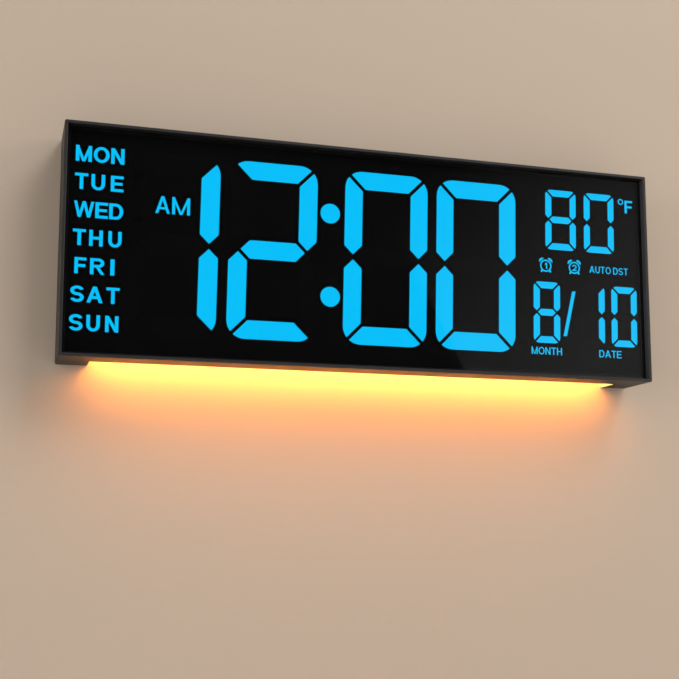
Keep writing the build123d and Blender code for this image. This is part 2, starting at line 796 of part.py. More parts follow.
    # Battery bay, the seat of its door and the slots of the contacts
    with BuildSketch(out(-cut_overrun)):
        with Locations(door_place):
            RectangleRounded(door_length + 2 * door_gap, door_width + 2 * door_gap, door_corner_radius)
    extrude(amount=door_recess + cut_overrun, mode=Mode.SUBTRACT)
    with BuildSketch(out(door_recess)):
        with Locations(bay_place):
            Circle(bay_radius)
    extrude(amount=bay_floor - door_recess, mode=Mode.SUBTRACT)
    with BuildSketch(out(door_recess)):
        with Locations(door_screw_place):
            Circle(small_screw_radius + screw_gap)
    extrude(amount=bay_floor - door_recess, mode=Mode.SUBTRACT)
    with BuildSketch(out(bay_floor)):
        with Locations(plus_place):
            Rectangle(contact_thickness + 2 * contact_slot_gap, contact_width + 2 * contact_slot_gap)
        with Locations(minus_place):
            Rectangle(contact_thickness + 2 * contact_slot_gap, contact_width + 2 * contact_slot_gap)
    extrude(amount=bay_wall, mode=Mode.SUBTRACT)
    # Holes for the leads of the light bar, through the ceiling of the recess
    with BuildSketch(Plane.XY.offset(recess_ceiling)):
        with Locations(*[(x, -lead_out) for x in bar_lead_places]):
            Circle(lead_radius + screw_gap)
    extrude(amount=recess_wall, mode=Mode.SUBTRACT)
    # Sound holes, the probe's vent and the row of vents
    with BuildSketch(out(0)):
        with Locations(buzzer_place):
            Circle(sound_hole_radius)
            with PolarLocations(sound_ring_radius, sound_hole_count):
                Circle(sound_hole_radius)
        with Locations((0, vent_row)):
            with GridLocations(vent_pitch, 0, vent_count, 1):
                SlotOverall(vent_length, vent_width, rotation=90)
        with Locations(probe_place):
            with GridLocations(2 * vent_width, 0, 3, 1):
                SlotOverall(vent_length / 2, vent_width, rotation=90)
    extrude(amount=cover_wall, mode=Mode.SUBTRACT)
rear_cover.part.label = "rear_cover"
export_step(rear_cover.part, "parts/rear_cover.step")

# Case screws: pan heads deep in the posts of the rear cover, shanks in the bosses of the frame
with BuildPart() as case_screws:
    with BuildSketch(out(post_seat)):
        with Locations(*screw_places):
            Circle(screw_head_radius)
    extrude(amount=-screw_head_height)
    with BuildSketch(out(post_seat)):
        with Locations(*screw_places):
            Circle(screw_radius)
    extrude(amount=screw_length)
case_screws.part.label = "case_screws"
export_step(case_screws.part, "parts/case_screws.step")

# Diffuser of the night light: a milky channel with closed ends and a rounded lower side
with BuildPart() as light_bar_diffuser:
    with BuildSketch(across(-bar_length / 2)):
        with Locations((-bar_middle_out, recess_ceiling - bar_height / 2)):
            Rectangle(bar_width, bar_height)
    extrude(amount=bar_length)
    fillet(light_bar_diffuser.faces().sort_by(Axis.Z)[0].edges().filter_by(Axis.X), bar_wall)
    with BuildSketch(across(bar_wall - bar_length / 2)):
        with Locations((-bar_middle_out, recess_ceiling - (bar_height - bar_wall) / 2)):
            Rectangle(bar_width - 2 * bar_wall, bar_height - bar_wall)
    extrude(amount=bar_length - 2 * bar_wall, mode=Mode.SUBTRACT)
light_bar_diffuser.part.label = "light_bar_diffuser"
export_step(light_bar_diffuser.part, "parts/light_bar_diffuser.step")

# Board of the night light, stuck to the ceiling inside the diffuser
with BuildPart() as light_bar_board:
    with BuildSketch(Plane.XY.offset(recess_ceiling)):
        with Locations((0, -bar_middle_out)):
            Rectangle(bar_board_length, bar_board_width)
    extrude(amount=-bar_board_thickness)
light_bar_board.part.label = "light_bar_board"
export_step(light_bar_board.part, "parts/light_bar_board.step")

# Emitters of the night light, in a row under their board
with BuildPart() as light_bar_leds:
    with BuildSketch(Plane.XY.offset(recess_ceiling - bar_board_thickness)):
        with Locations((0, -bar_middle_out)):
            with GridLocations(bar_board_length / bar_emitter_count, 0, bar_emitter_count, 1):
                Rectangle(bar_emitter_length, bar_emitter_width)
    extrude(amount=-bar_emitter_height)
light_bar_leds.part.label = "light_bar_leds"
export_step(light_bar_leds.part, "parts/light_bar_leds.step")

# Two leads from the light bar's board, up through the ceiling to the face of the main board
with BuildPart() as light_bar_leads:
    with BuildSketch(Plane.XY.offset(recess_ceiling)):
        with Locations(*[(x, -lead_out) for x in bar_lead_places]):
            Circle(lead_radius)
    extrude(amount=main_board_bottom + lead_overlap - recess_ceiling)
light_bar_leads.part.label = "light_bar_leads"
export_step(light_bar_leads.part, "parts/light_bar_leads.step")

# Main board on four posts of the rear cover
with BuildPart() as main_board:
    with BuildSketch(out(main_board_back)):
        with Locations((panel_x, main_board_middle)):
            Rectangle(main_board_width, main_board_height)
        with Locations(*board_post_places):
            Circle(small_screw_radius + screw_gap, mode=Mode.SUBTRACT)
    extrude(amount=board_thickness)
main_board.part.label = "main_board"
export_step(main_board.part, "parts/main_board.step")

# Screws of the main board
with BuildPart() as board_screws:
    with BuildSketch(out(main_board_front)):
        with Locations(*board_post_places):
            Circle(small_head_radius)
    extrude(amount=small_head_height)
    with BuildSketch(out(main_board_front)):
        with Locations(*board_post_places):
            Circle(small_screw_radius)
    extrude(amount=-small_screw_length)
board_screws.part.label = "board_screws"
export_step(board_screws.part, "parts/board_screws.step")

# Switches under the buttons: square bodies with a round stem each
stem_tip = button_flange_front + button_travel + button_stem_gap
with BuildPart() as tact_switches:
    with BuildSketch(out(main_board_back)):
        with Locations(*[(x, 0) for x in button_places]):
            Rectangle(switch_size, switch_size)
    extrude(amount=-switch_body_height)
    with BuildSketch(out(stem_tip)):
        with Locations(*[(x, 0) for x in button_places]):
            Circle(switch_stem_radius)
    extrude(amount=main_board_back - switch_body_height - stem_tip)
tact_switches.part.label = "tact_switches"
export_step(tact_switches.part, "parts/tact_switches.step")

# Control chip on the front of the main board
chip_place = (panel_x - main_board_width / 8, main_board_middle)
with BuildPart() as control_chip:
    with BuildSketch(out(main_board_front)):
        with Locations(chip_place):
            Rectangle(control_chip_size, control_chip_size)
    extrude(amount=chip_height)
    chamfer(control_chip.faces().sort_by(Axis.Y)[0].edges(), chip_height / 6)
control_chip.part.label = "control_chip"
export_step(control_chip.part, "parts/control_chip.step")

# Crystal that keeps the time: a small can lying beside the chip
with BuildPart() as clock_crystal:
    crystal_x = chip_place[0] + control_chip_size
    with BuildSketch(across(crystal_x)):
        with Locations((-main_board_front - crystal_radius - seat_gap, main_board_middle)):
            Circle(crystal_radius)
    extrude(amount=crystal_length)
clock_crystal.part.label = "clock_crystal"
export_step(clock_crystal.part, "parts/clock_crystal.step")

# Smoothing capacitor near the inlet
with BuildPart() as smoothing_capacitor:
    with BuildSketch(out(main_board_front)):
        with Locations((panel_x + jack_width, main_board_bottom + jack_length)):
            Circle(capacitor_radius)
    extrude(amount=capacitor_height)
    fillet(smoothing_capacitor.faces().sort_by(Axis.Y)[0].edges(), capacitor_radius / 6)
smoothing_capacitor.part.label = "smoothing_capacitor"
export_step(smoothing_capacitor.part, "parts/smoothing_capacitor.step")

# Buzzer behind the sound holes
with BuildPart() as buzzer:
    with BuildSketch(out(main_board_back)):
        with Locations(buzzer_place):
            Circle(buzzer_radius)
    extrude(amount=-buzzer_height)
    with BuildSketch(out(main_board_back - buzzer_height)):
        with Locations(buzzer_place):
            Circle(buzzer_hole_radius)
    extrude(amount=buzzer_hole_radius, mode=Mode.SUBTRACT)
buzzer.part.label = "buzzer"
export_step(buzzer.part, "parts/buzzer.step")

# Temperature sensor: a bead on two legs behind its own vent
with BuildPart() as temperature_sensor:
    with BuildSketch(out(main_board_back)):
        with Locations(probe_place):
            with GridLocations(probe_radius, 0, 2, 1):
                Circle(probe_leg_radius)
    extrude(amount=-probe_reach)
    with Locations((probe_place[0], probe_reach - main_board_back, probe_place[1])):
        Sphere(probe_radius)
temperature_sensor.part.label = "temperature_sensor"
export_step(temperature_sensor.part, "parts/temperature_sensor.step")

# Link between the boards: a row of pins on the main board and its socket on the display board
link_place = (panel_x + main_board_width / 2 - link_x_inset, main_board_middle)
link_length = link_pin_count * link_pitch
link_seam = main_board_front + link_base_height
with BuildPart() as link_header:
    with BuildSketch(out(main_board_front)):
        with Locations(link_place):
            Rectangle(link_length, link_width)
    extrude(amount=link_base_height)
    with BuildSketch(out(link_seam)):
        with Locations(link_place):
            with GridLocations(link_pitch, 0, link_pin_count, 1):
                Rectangle(link_pin_size, link_pin_size)
    extrude(amount=link_pin_reach)
link_header.part.label = "link_header"
export_step(link_header.part, "parts/link_header.step")

with BuildPart() as link_socket:
    with BuildSketch(out(link_seam)):
        with Locations(link_place):
            Rectangle(link_length, link_width)
    extrude(amount=display_board_back - link_seam)
    with BuildSketch(out(link_seam)):
        with Locations(link_place):
            with GridLocations(link_pitch, 0, link_pin_count, 1):
                Rectangle(link_pin_size + 2 * link_socket_gap, link_pin_size + 2 * link_socket_gap)
    extrude(amount=link_pin_reach + link_socket_gap, mode=Mode.SUBTRACT)
link_socket.part.label = "link_socket"
export_step(link_socket.part, "parts/link_socket.step")

# Power inlet: a block with a round bore and a pin in it, facing down into the plug pocket
jack_out = main_board_back - jack_height / 2
with BuildPart() as dc_jack:
    with BuildSketch(Plane.XY.offset(jack_front)):
        with Locations((panel_x, -jack_out)):
            Rectangle(jack_width, jack_height)
    extrude(amount=jack_length)
    with BuildSketch(Plane.XY.offset(jack_front)):
        with Locations((panel_x, -jack_out)):
            Circle(jack_bore_radius)
    extrude(amount=jack_bore_depth, mode=Mode.SUBTRACT)
    with BuildSketch(Plane.XY.offset(jack_front + jack_pin_inset)):
        with Locations((panel_x, -jack_out)):
            Circle(jack_pin_radius)
    extrude(amount=jack_bore_depth)
dc_jack.part.label = "dc_jack"
export_step(dc_jack.part, "parts/dc_jack.step")

# Back-up cell in its bay
with BuildPart() as coin_cell:
    with BuildSketch(out(cell_back)):
        with Locations(bay_place):
            Circle(cell_radius)
    extrude(amount=cell_thickness)
    fillet(coin_cell.edges().filter_by(GeomType.CIRCLE).sort_by(Axis.Y)[-1], contact_thickness)
coin_cell.part.label = "coin_cell"
export_step(coin_cell.part, "parts/coin_cell.step")

# Contacts of the cell: a strip beside it and a sprung plate under it, each with a tail through the floor
tail_top = bay_floor + bay_wall + contact_tail
with BuildPart() as plus_contact:
    with BuildSketch(out(cell_back)):
        with Locations(plus_place):
            Rectangle(contact_thickness, contact_width)
    extrude(amount=tail_top - cell_back)
plus_contact.part.label = "plus_contact"
export_step(plus_contact.part, "parts/plus_contact.step")

with BuildPart() as minus_contact:
    with BuildSketch(out(bay_floor)):
        with Locations((bay_place[0], minus_place[1])):
            Rectangle(contact_length + contact_thickness, contact_width)
    extrude(amount=-contact_thickness)
    with BuildSketch(out(bay_floor)):
        with Locations((bay_place[0], minus_place[1])):
            Circle(contact_bump_radius)
    extrude(amount=-contact_spring)
    with BuildSketch(out(bay_floor)):
        with Locations(minus_place):
            Rectangle(contact_thickness, contact_width)
    extrude(amount=tail_top - bay_floor)
minus_contact.part.label = "minus_contact"
export_step(minus_contact.part, "parts/minus_contact.step")

# Leads of the cell: from each contact's tail over to the face of the main board
board_left = panel_x - main_board_width / 2
with BuildPart() as cell_leads:
    for lead_x, lead_z in (plus_place, minus_place):
        with BuildLine() as lead_path:
            corner = (lead_x, -lead_out, lead_z)
            FilletPolyline(
                (lead_x, -tail_top, lead_z), corner, (board_left + lead_overlap, -lead_out, lead_z),
                radius=lead_bend_radius,
            )
        with BuildSketch(Plane(origin=(lead_x, -tail_top, lead_z), z_dir=(0, -1, 0))):
            Circle(lead_radius)
        sweep(path=lead_path.line)
cell_leads.part.label = "cell_leads"
export_step(cell_leads.part, "parts/cell_leads.step")

# Door of the cell's bay, flush with the back, with a pad that presses the cell
with BuildPart() as battery_door:
    with BuildSketch(out(0)):
        with Locations(door_place):
            RectangleRounded(door_length, door_width, door_corner_radius - door_gap)
    extrude(amount=door_thickness)
    with BuildSketch(out(door_thickness)):
        with Locations(bay_place):
            Circle(door_boss_radius)
    extrude(amount=door_boss_height)
    with BuildSketch(out(0)):
        with Locations(door_screw_place):
            Circle(small_head_radius + screw_gap)
    extrude(amount=small_head_height, mode=Mode.SUBTRACT)
    with BuildSketch(out(0)):
        with Locations(door_screw_place):
            Circle(small_screw_radius + screw_gap)
    extrude(amount=door_thickness, mode=Mode.SUBTRACT)
battery_door.part.label = "battery_door"
export_step(battery_door.part, "parts/battery_door.step")

# Screw that stays in the door
with BuildPart() as door_screw:
    with BuildSketch(out(small_head_height)):
        with Locations(door_screw_place):
            Circle(small_head_radius)
    extrude(amount=-small_head_height)
    with BuildSketch(out(small_head_height)):
        with Locations(door_screw_place):
            Circle(small_screw_radius)
    extrude(amount=small_screw_length)
door_screw.part.label = "door_screw"
export_step(door_screw.part, "parts/door_screw.step")


# Push buttons: crowned pills with a flange behind the panel
def push_button(name, x):
    """One button at its place in the row, resting against the inside of the panel."""
    flange_back = panel_inner + seat_gap
    with BuildPart() as button:
        with BuildSketch(out(button_top_inset)):
            with Locations((x, 0)):
                SlotOverall(button_length, button_width, rotation=90)
        extrude(amount=flange_back - button_top_inset)
        fillet(button.faces().sort_by(Axis.Y)[-1].edges(), button_crown)
        with BuildSketch(out(flange_back)):
            with Locations((x, 0)):
                flange_length = button_length + 2 * button_flange_width
                SlotOverall(flange_length, button_width + 2 * button_flange_width, rotation=90)
        extrude(amount=button_flange_thickness)
    button.part.label = name
    export_step(button.part, "parts/" + name + ".step")


for button_name, button_x in zip(button_names, button_places):
    push_button(button_name, button_x)


# Stand legs: flat paddles with a barrel at the pin, a sunk panel and a grip at the tip
def stand_leg(name, x):
    """One leg folded into its pocket, hanging on its pin."""
    tip_z = leg_pin_z + leg_length
    panel_top = tip_z - leg_grip_radius - leg_panel_margin
    panel_bottom = leg_pin_z + leg_panel_margin
    with BuildPart() as leg:
        with BuildSketch(across(x - leg_width / 2)):
            with Locations((-leg_pin_out, leg_pin_z)):
                Circle(leg_thickness / 2)
            with Locations((-leg_pin_out, leg_pin_z + leg_length / 2)):
                Rectangle(leg_thickness, leg_length)
        extrude(amount=leg_width)
        fillet(leg.edges().filter_by(Axis.Y).group_by(Axis.Z)[-1], leg_panel_margin)
        fillet(leg.faces().sort_by(Axis.Z)[-1].edges().filter_by(Axis.X), leg_tip_radius)
        with BuildSketch(across(x - leg_width / 2)):
            with Locations((-leg_pin_out, leg_pin_z)):
                Circle(leg_pin_radius + leg_pin_gap)
        extrude(amount=leg_width, mode=Mode.SUBTRACT)
        with BuildSketch(out(leg_face_inset)):
            with Locations((x, tip_z)):
                Circle(leg_grip_radius)
        extrude(amount=leg_grip_depth, mode=Mode.SUBTRACT)
        with BuildSketch(out(leg_face_inset)):
            with Locations((x, (panel_top + panel_bottom) / 2)):
                RectangleRounded(leg_width - 2 * leg_panel_margin, panel_top - panel_bottom, leg_tip_radius)
        extrude(amount=leg_panel_depth, mode=Mode.SUBTRACT)
    leg.part.label = name
    export_step(leg.part, "parts/" + name + ".step")


for leg_name, leg_x in zip(("left_leg", "right_leg"), leg_places):
    stand_leg(leg_name, leg_x)

# Steel pins of the legs, held in the side walls of the pockets
with BuildPart() as leg_pins:
    for x in leg_places:
        with BuildSketch(across(x - leg_pocket_width / 2 - leg_pin_bearing)):
            with Locations((-leg_pin_out, leg_pin_z)):
                Circle(leg_pin_radius)
        extrude(amount=leg_pocket_width + 2 * leg_pin_bearing)
leg_pins.part.label = "leg_pins"
export_step(leg_pins.part, "parts/leg_pins.step")
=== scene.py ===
import math

import bmesh
import bpy
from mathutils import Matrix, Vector
from mathutils.geometry import delaunay_2d_cdt


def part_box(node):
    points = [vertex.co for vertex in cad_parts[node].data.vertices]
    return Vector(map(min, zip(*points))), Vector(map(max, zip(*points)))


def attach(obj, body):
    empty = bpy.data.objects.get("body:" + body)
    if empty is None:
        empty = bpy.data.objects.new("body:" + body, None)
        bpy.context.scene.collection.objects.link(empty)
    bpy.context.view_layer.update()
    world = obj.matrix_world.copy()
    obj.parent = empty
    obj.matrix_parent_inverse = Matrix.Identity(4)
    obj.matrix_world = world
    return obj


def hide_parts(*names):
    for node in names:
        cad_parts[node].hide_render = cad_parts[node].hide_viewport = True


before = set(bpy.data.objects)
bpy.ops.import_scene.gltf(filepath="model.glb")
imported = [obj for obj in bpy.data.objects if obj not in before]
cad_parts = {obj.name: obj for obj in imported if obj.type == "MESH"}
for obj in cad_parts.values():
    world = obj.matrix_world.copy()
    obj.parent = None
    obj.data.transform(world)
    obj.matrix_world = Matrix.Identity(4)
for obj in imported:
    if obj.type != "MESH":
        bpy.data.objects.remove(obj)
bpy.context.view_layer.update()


# Front frame: the black moulded surround with a thin rim and the deep inner wall that the lens
# drops into. It is ABS with a fine spark-eroded grain, and six screws from behind pull it against
# the rear cover. Its front edges are a little brighter, partly from rubbed wear and partly a painted
# highlight. Its inner walls carry painted shade above and below the lens and painted light at the
# sides, and its parting line a thin painted shadow that also stands for the dark joint.
class Socket:
    """A socket in a node tree. Arithmetic on it adds Math nodes, and node() adds any other node."""

    def __init__(self, tree, socket):
        self.tree = tree
        self.socket = socket

    def node(self, kind, settings, sockets, output=0):
        made = self.tree.nodes.new(kind)
        for name, value in settings.items():
            setattr(made, name, value)
        for name, value in sockets.items():
            if isinstance(value, Socket):
                self.tree.links.new(value.socket, made.inputs[name])
            else:
                made.inputs[name].default_value = value
        return Socket(self.tree, made.outputs[output])

    def maths(self, operation, first, second):
        return self.node("ShaderNodeMath", {"operation": operation}, {0: first, 1: second})

    def __add__(self, other):
        return self.maths("ADD", self, other)

    def __radd__(self, other):
        return self.maths("ADD", other, self)

    def __sub__(self, other):
        return self.maths("SUBTRACT", self, other)

    def __rsub__(self, other):
        return self.maths("SUBTRACT", other, self)

    def __mul__(self, other):
        return self.maths("MULTIPLY", self, other)

    def __rmul__(self, other):
        return self.maths("MULTIPLY", other, self)

    def __abs__(self):
        return self.maths("ABSOLUTE", self, 0.0)

    def into(self, shader, name):
        self.tree.links.new(self.socket, shader.inputs[name])


def new_finish(name, constants):
    """A material with one Principled shader: the material, the shader and its Object coordinates."""
    material = bpy.data.materials.new(name)
    material.use_nodes = True
    tree = material.node_tree
    shader = tree.nodes["Principled BSDF"]
    for socket, value in constants.items():
        shader.inputs[socket].default_value = value
    return material, shader, Socket(tree, tree.nodes.new("ShaderNodeTexCoord").outputs["Object"])


def axes_of(place):
    """The x, y and z of a place, each as a value."""
    split = place.node("ShaderNodeSeparateXYZ", {}, {0: place}).socket.node
    return [Socket(place.tree, axis) for axis in split.outputs]


def mottle(place, size, detail=2.0):
    """Noise whose spots are about size metres across, from 0 to 1."""
    sockets = {"Vector": place, "Scale": 1 / size, "Detail": detail}
    return place.node("ShaderNodeTexNoise", {}, sockets)


def tint(mask, low, high):
    """One colour where the mask is 0 and another where it is 1."""
    return mask.node("ShaderNodeMix", {"data_type": "RGBA"}, {0: mask, 6: (*low, 1), 7: (*high, 1)}, 2)


def over(mask, under, colour):
    """A colour laid over another one where the mask is 1."""
    return mask.node("ShaderNodeMix", {"data_type": "RGBA"}, {0: mask, 6: under, 7: (*colour, 1)}, 2)


def ramp(value, low, high):
    """0 below low, 1 above high and smooth between them."""
    sockets = {"Value": value, "From Min": low, "From Max": high}
    return value.node("ShaderNodeMapRange", {"interpolation_type": "SMOOTHSTEP"}, sockets)


def raise_grain(shader, height, strength, depth):
    """Surface relief from a height between 0 and 1."""
    sockets = {"Height": height, "Strength": strength, "Distance": depth}
    height.node("ShaderNodeBump", {}, sockets).into(shader, "Normal")


def moulded_plastic(name, dark, light, roughness, grain_size, grain_depth, gloss=0.5):
    """Moulded plastic with a slow drift of tone, and a fine grain in the gloss and the surface.

    Gives the material, its shader, its Object coordinates and its tone.
    """
    drift_size = 0.045
    grain_swing = 0.16
    grain_strength = 0.35
    material, shader, place = new_finish(name, {"IOR": 1.5, "Specular IOR Level": gloss})
    tone = tint(mottle(place, drift_size, 4.0), dark, light)
    tone.into(shader, "Base Color")
    grain = mottle(place, grain_size)
    (roughness + grain_swing * (grain - 0.5)).into(shader, "Roughness")
    raise_grain(shader, grain, grain_strength, grain_depth)
    return material, shader, place, tone


def dress(material, *nodes):
    """Gives CAD nodes a finish in their own material slots."""
    for node in nodes:
        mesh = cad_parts[node].data
        for i in range(len(mesh.materials)):
            mesh.materials[i] = material


frame_low, frame_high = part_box("front_frame")
rim_width = 0.0021
rim_rounding = 0.0004
wear_and_highlight_spot = 0.006
tone_near, tone_far = 0.0001, 0.0003
rim_dark = (0.014, 0.0136, 0.014)
rim_light = (0.021, 0.0202, 0.0202)
# Rubbed wear and a painted highlight on the front edges of the rim.
rim_wear_and_highlight = (0.060, 0.057, 0.054)
# Painted shade on the inner walls of the rim.
inner_wall_painted_shade = (0.008, 0.008, 0.0085)
# Painted light on the side inner walls, as if lit from the left.
side_wall_painted_light = (0.050, 0.049, 0.050)
# Painted shadow along the parting line, which also stands for the dark joint.
seam_dust_and_shade = (0.003, 0.003, 0.003)
frame_plastic, frame_shader, frame_place, frame_tone = moulded_plastic(
    "frame_plastic", rim_dark, rim_light, 0.46, 0.00028, 0.00002, 0.25
)
frame_x, frame_y, frame_z = axes_of(frame_place)
from_side = frame_high.x - abs(frame_x)
from_front = -frame_low.y - abs(frame_y)
from_end = frame_high.z - abs(frame_z)
from_edge = from_side.maths("MINIMUM", from_side, from_end)
# Front edges made brighter: partly rubbed wear, partly a painted highlight where the edge catches light.
rubbed_and_highlit = (1 - ramp(from_front, 0, 2 * rim_rounding)) * (1 - ramp(from_edge, 0, 2 * rim_rounding))
rubbed_and_highlit = rubbed_and_highlit * ramp(mottle(frame_place, wear_and_highlight_spot), 0.35, 0.65)
# Painted shade on the inner walls of the rim; the side walls get painted light over it below.
inner_wall_shade_mask = ramp(from_edge, rim_width - tone_far, rim_width - tone_near)
# Painted light on the side inner walls of the rim, as if lit from the left.
side_wall_light_mask = inner_wall_shade_mask * ramp(from_end, rim_width + tone_near, rim_width + tone_far)
# Painted shadow line along the parting line with the rear cover, also a dark joint.
frame_seam_dust_and_shade = 1 - ramp(abs(from_front - (frame_high.y - frame_low.y)), tone_near, tone_far)
for mask, colour in (
    (rubbed_and_highlit, rim_wear_and_highlight),
    (inner_wall_shade_mask, inner_wall_painted_shade),
    (side_wall_light_mask, side_wall_painted_light),
    (frame_seam_dust_and_shade, seam_dust_and_shade),
):
    frame_tone = over(mask, frame_tone, colour)
frame_tone.into(frame_shader, "Base Color")
dress(frame_plastic, "front_frame")


# Reflector block: the stepped black slab behind the lens, with one well for each bar of each digit.
# It is moulded in opaque black so that no light crosses from well to well, and its face is matt.
reflector_plastic = moulded_plastic(
    "reflector_plastic", (0.0012, 0.0012, 0.0014), (0.0020, 0.0020, 0.0023), 0.62, 0.0004, 0.00002, 0.06
)[0]
dress(reflector_plastic, "reflector_block")


# Diffuser inserts: tinted acrylic that fills the mouth of each well, flush with the reflector. Those
# over lit emitters glow blue with a faint unevenness, and the rest stay almost as dark as the slab.
lit_blue = (0.0001, 0.508, 0.945)
lit_pale = (0.0005, 0.540, 0.960)
lit_constants = {"Emission Strength": 2.70, "Specular IOR Level": 0.08}
lit_acrylic, lit_shader, lit_place = new_finish("lit_acrylic", lit_constants)
lit_patch = mottle(lit_place, 0.016)
tint(lit_patch, (0.002, 0.060, 0.110), (0.004, 0.085, 0.150)).into(lit_shader, "Base Color")
tint(lit_patch, lit_blue, lit_pale).into(lit_shader, "Emission Color")
(0.42 + 0.10 * mottle(lit_place, 0.0012)).into(lit_shader, "Roughness")
readouts = [node for node in sorted(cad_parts) if node.endswith("_segments")]
readouts.remove("unlit_segments")
dress(lit_acrylic, *readouts, "colon_dots", "date_slash")

unlit_acrylic = moulded_plastic(
    "unlit_acrylic", (0.0014, 0.0016, 0.0019), (0.0022, 0.0025, 0.0029), 0.58, 0.0012, 0.00001, 0.08
)[0]
dress(unlit_acrylic, "unlit_segments")


# Legend film: thin polyester strips, screen printed black but for the words and signs. They are stuck
# to the face of the reflector over the windows, and their cleared letters glow like the digits.
ink_thickness = 0.00005
film_black = moulded_plastic(
    "film_black", (0.0012, 0.0012, 0.0014), (0.0019, 0.0019, 0.0022), 0.60, 0.0006, 0.00001, 0.06
)[0]
dress(film_black, "legend_film")

letter_widths = {
    "A": 0.953, "D": 0.850, "E": 0.776, "F": 0.710, "H": 0.822, "I": 0.250, "M": 0.963, "N": 0.813,
    "O": 0.963, "R": 0.869, "S": 0.804, "T": 0.776, "U": 0.822, "W": 1.178, "1": 0.48, "2": 0.80,
}


def slab(x0, y0, x1, y1):
    """An upright oblong."""
    return [(x0, y0), (x1, y0), (x1, y1), (x0, y1)]


def slant(x0, x1, width, y0, y1):
    """A leaning stroke with level ends, whose left edge runs from x0 to x1."""
    return [(x0, y0), (x0 + width, y0), (x1 + width, y1), (x1, y1)]


def bow(x, y, radii, walls, start, stop, steps=28):
    """A curved stroke: part of an oval ring, from one angle to another in degrees."""
    turns = [math.radians(start + (stop - start) * i / steps) for i in range(steps + 1)]
    inside = (radii[0] - walls[0], radii[1] - walls[1])
    outer, inner = ([(x + a * math.cos(t), y + b * math.sin(t)) for t in turns] for a, b in (radii, inside))
    return outer + inner[::-1]


def ring(x, y, radii, walls):
    """A whole oval ring, as two halves that share their ends."""
    return [bow(x, y, radii, walls, 0, 180), bow(x, y, radii, walls, 180, 360)]


def letter_strokes(letter, w, h, stem):
    """The overlapping strokes of one letter that is w wide and h high, with its corner at zero."""
    bar = 0.82 * stem
    wide, thin = 1.02 * stem, 0.84 * stem
    walls = (stem, bar)
    half = w / 2
    waist = (h + bar) / 4
    foot = 0.40 * h
    peak = (w - wide) / 2
    fork = (w - thin) / 2
    valley, far_valley = 0.27 * w - thin / 2, 0.73 * w - thin / 2
    left = slab(0, 0, stem, h)
    right = slab(w - stem, 0, w, h)
    top = slab(0, h - bar, w, h)
    bottom = slab(0, 0, w, bar)
    middle = slab(0, (h - bar) / 2, 0.92 * w, (h + bar) / 2)
    strokes = {
        "A": [
            slant(0, peak, wide, 0, h),
            slant(w - wide, peak, wide, 0, h),
            slab(0.24 * w, 0.24 * h, 0.76 * w, 0.24 * h + bar),
        ],
        "D": [
            left,
            slab(0, h - bar, half, h),
            slab(0, 0, half, bar),
            bow(0.48 * w, h / 2, (0.52 * w, h / 2), walls, -90, 90),
        ],
        "E": [left, top, middle, bottom],
        "F": [left, top, middle],
        "H": [left, right, slab(0, (h - bar) / 2, w, (h + bar) / 2)],
        "I": [slab(0, 0, w, h)],
        "M": [left, right, slant(fork, 0, thin, 0, h), slant(fork, w - thin, thin, 0, h)],
        "N": [left, right, slant(w - wide, 0, wide, 0, h)],
        "O": ring(half, h / 2, (half, h / 2), walls),
        "R": [
            left,
            slab(0, h - bar, 0.58 * w, h),
            slab(0, 0.42 * h, 0.58 * w, 0.42 * h + bar),
            bow(0.55 * w, 0.71 * h, (0.42 * w, 0.29 * h), walls, -90, 90),
            slant(w - wide, 0.36 * w, wide, 0, 0.48 * h),
        ],
        "S": [
            bow(half, h - waist, (half, waist), walls, 18, 270),
            bow(half, waist, (half, waist), walls, -162, 90),
        ],
        "T": [top, slab((w - stem) / 2, 0, (w + stem) / 2, h)],
        "U": [
            slab(0, foot, stem, h),
            slab(w - stem, foot, w, h),
            bow(half, foot, (half, foot), walls, 180, 360),
        ],
        "W": [
            slant(valley, 0, thin, 0, h),
            slant(valley, fork, thin, 0, h),
            slant(far_valley, fork, thin, 0, h),
            slant(far_valley, w - thin, thin, 0, h),
        ],
        "1": [right, slant(0, w - stem, stem, 0.66 * h, h)],
        "2": [
            bow(half, h - half, (half, half), walls, -35, 170),
            bottom,
            slant(0, 0.72 * w - 0.2 * stem, 1.1 * stem, 0, 0.52 * h),
        ],
    }
    return strokes[letter]


def moved(strokes, x, y):
    """Strokes at another place."""
    return [[(px + x, py + y) for px, py in stroke] for stroke in strokes]


def word(text, left, right, bottom, cap, stem, gap):
    """One stroke list for each letter of a word that is fitted between two edges."""
    natural = [letter_widths[letter] for letter in text]
    scale = (right - left - gap * (len(text) - 1)) / sum(natural)
    letters = []
    for letter, share in zip(text, natural):
        letters.append(moved(letter_strokes(letter, share * scale, cap, stem), left, bottom))
        left += share * scale + gap
    return letters


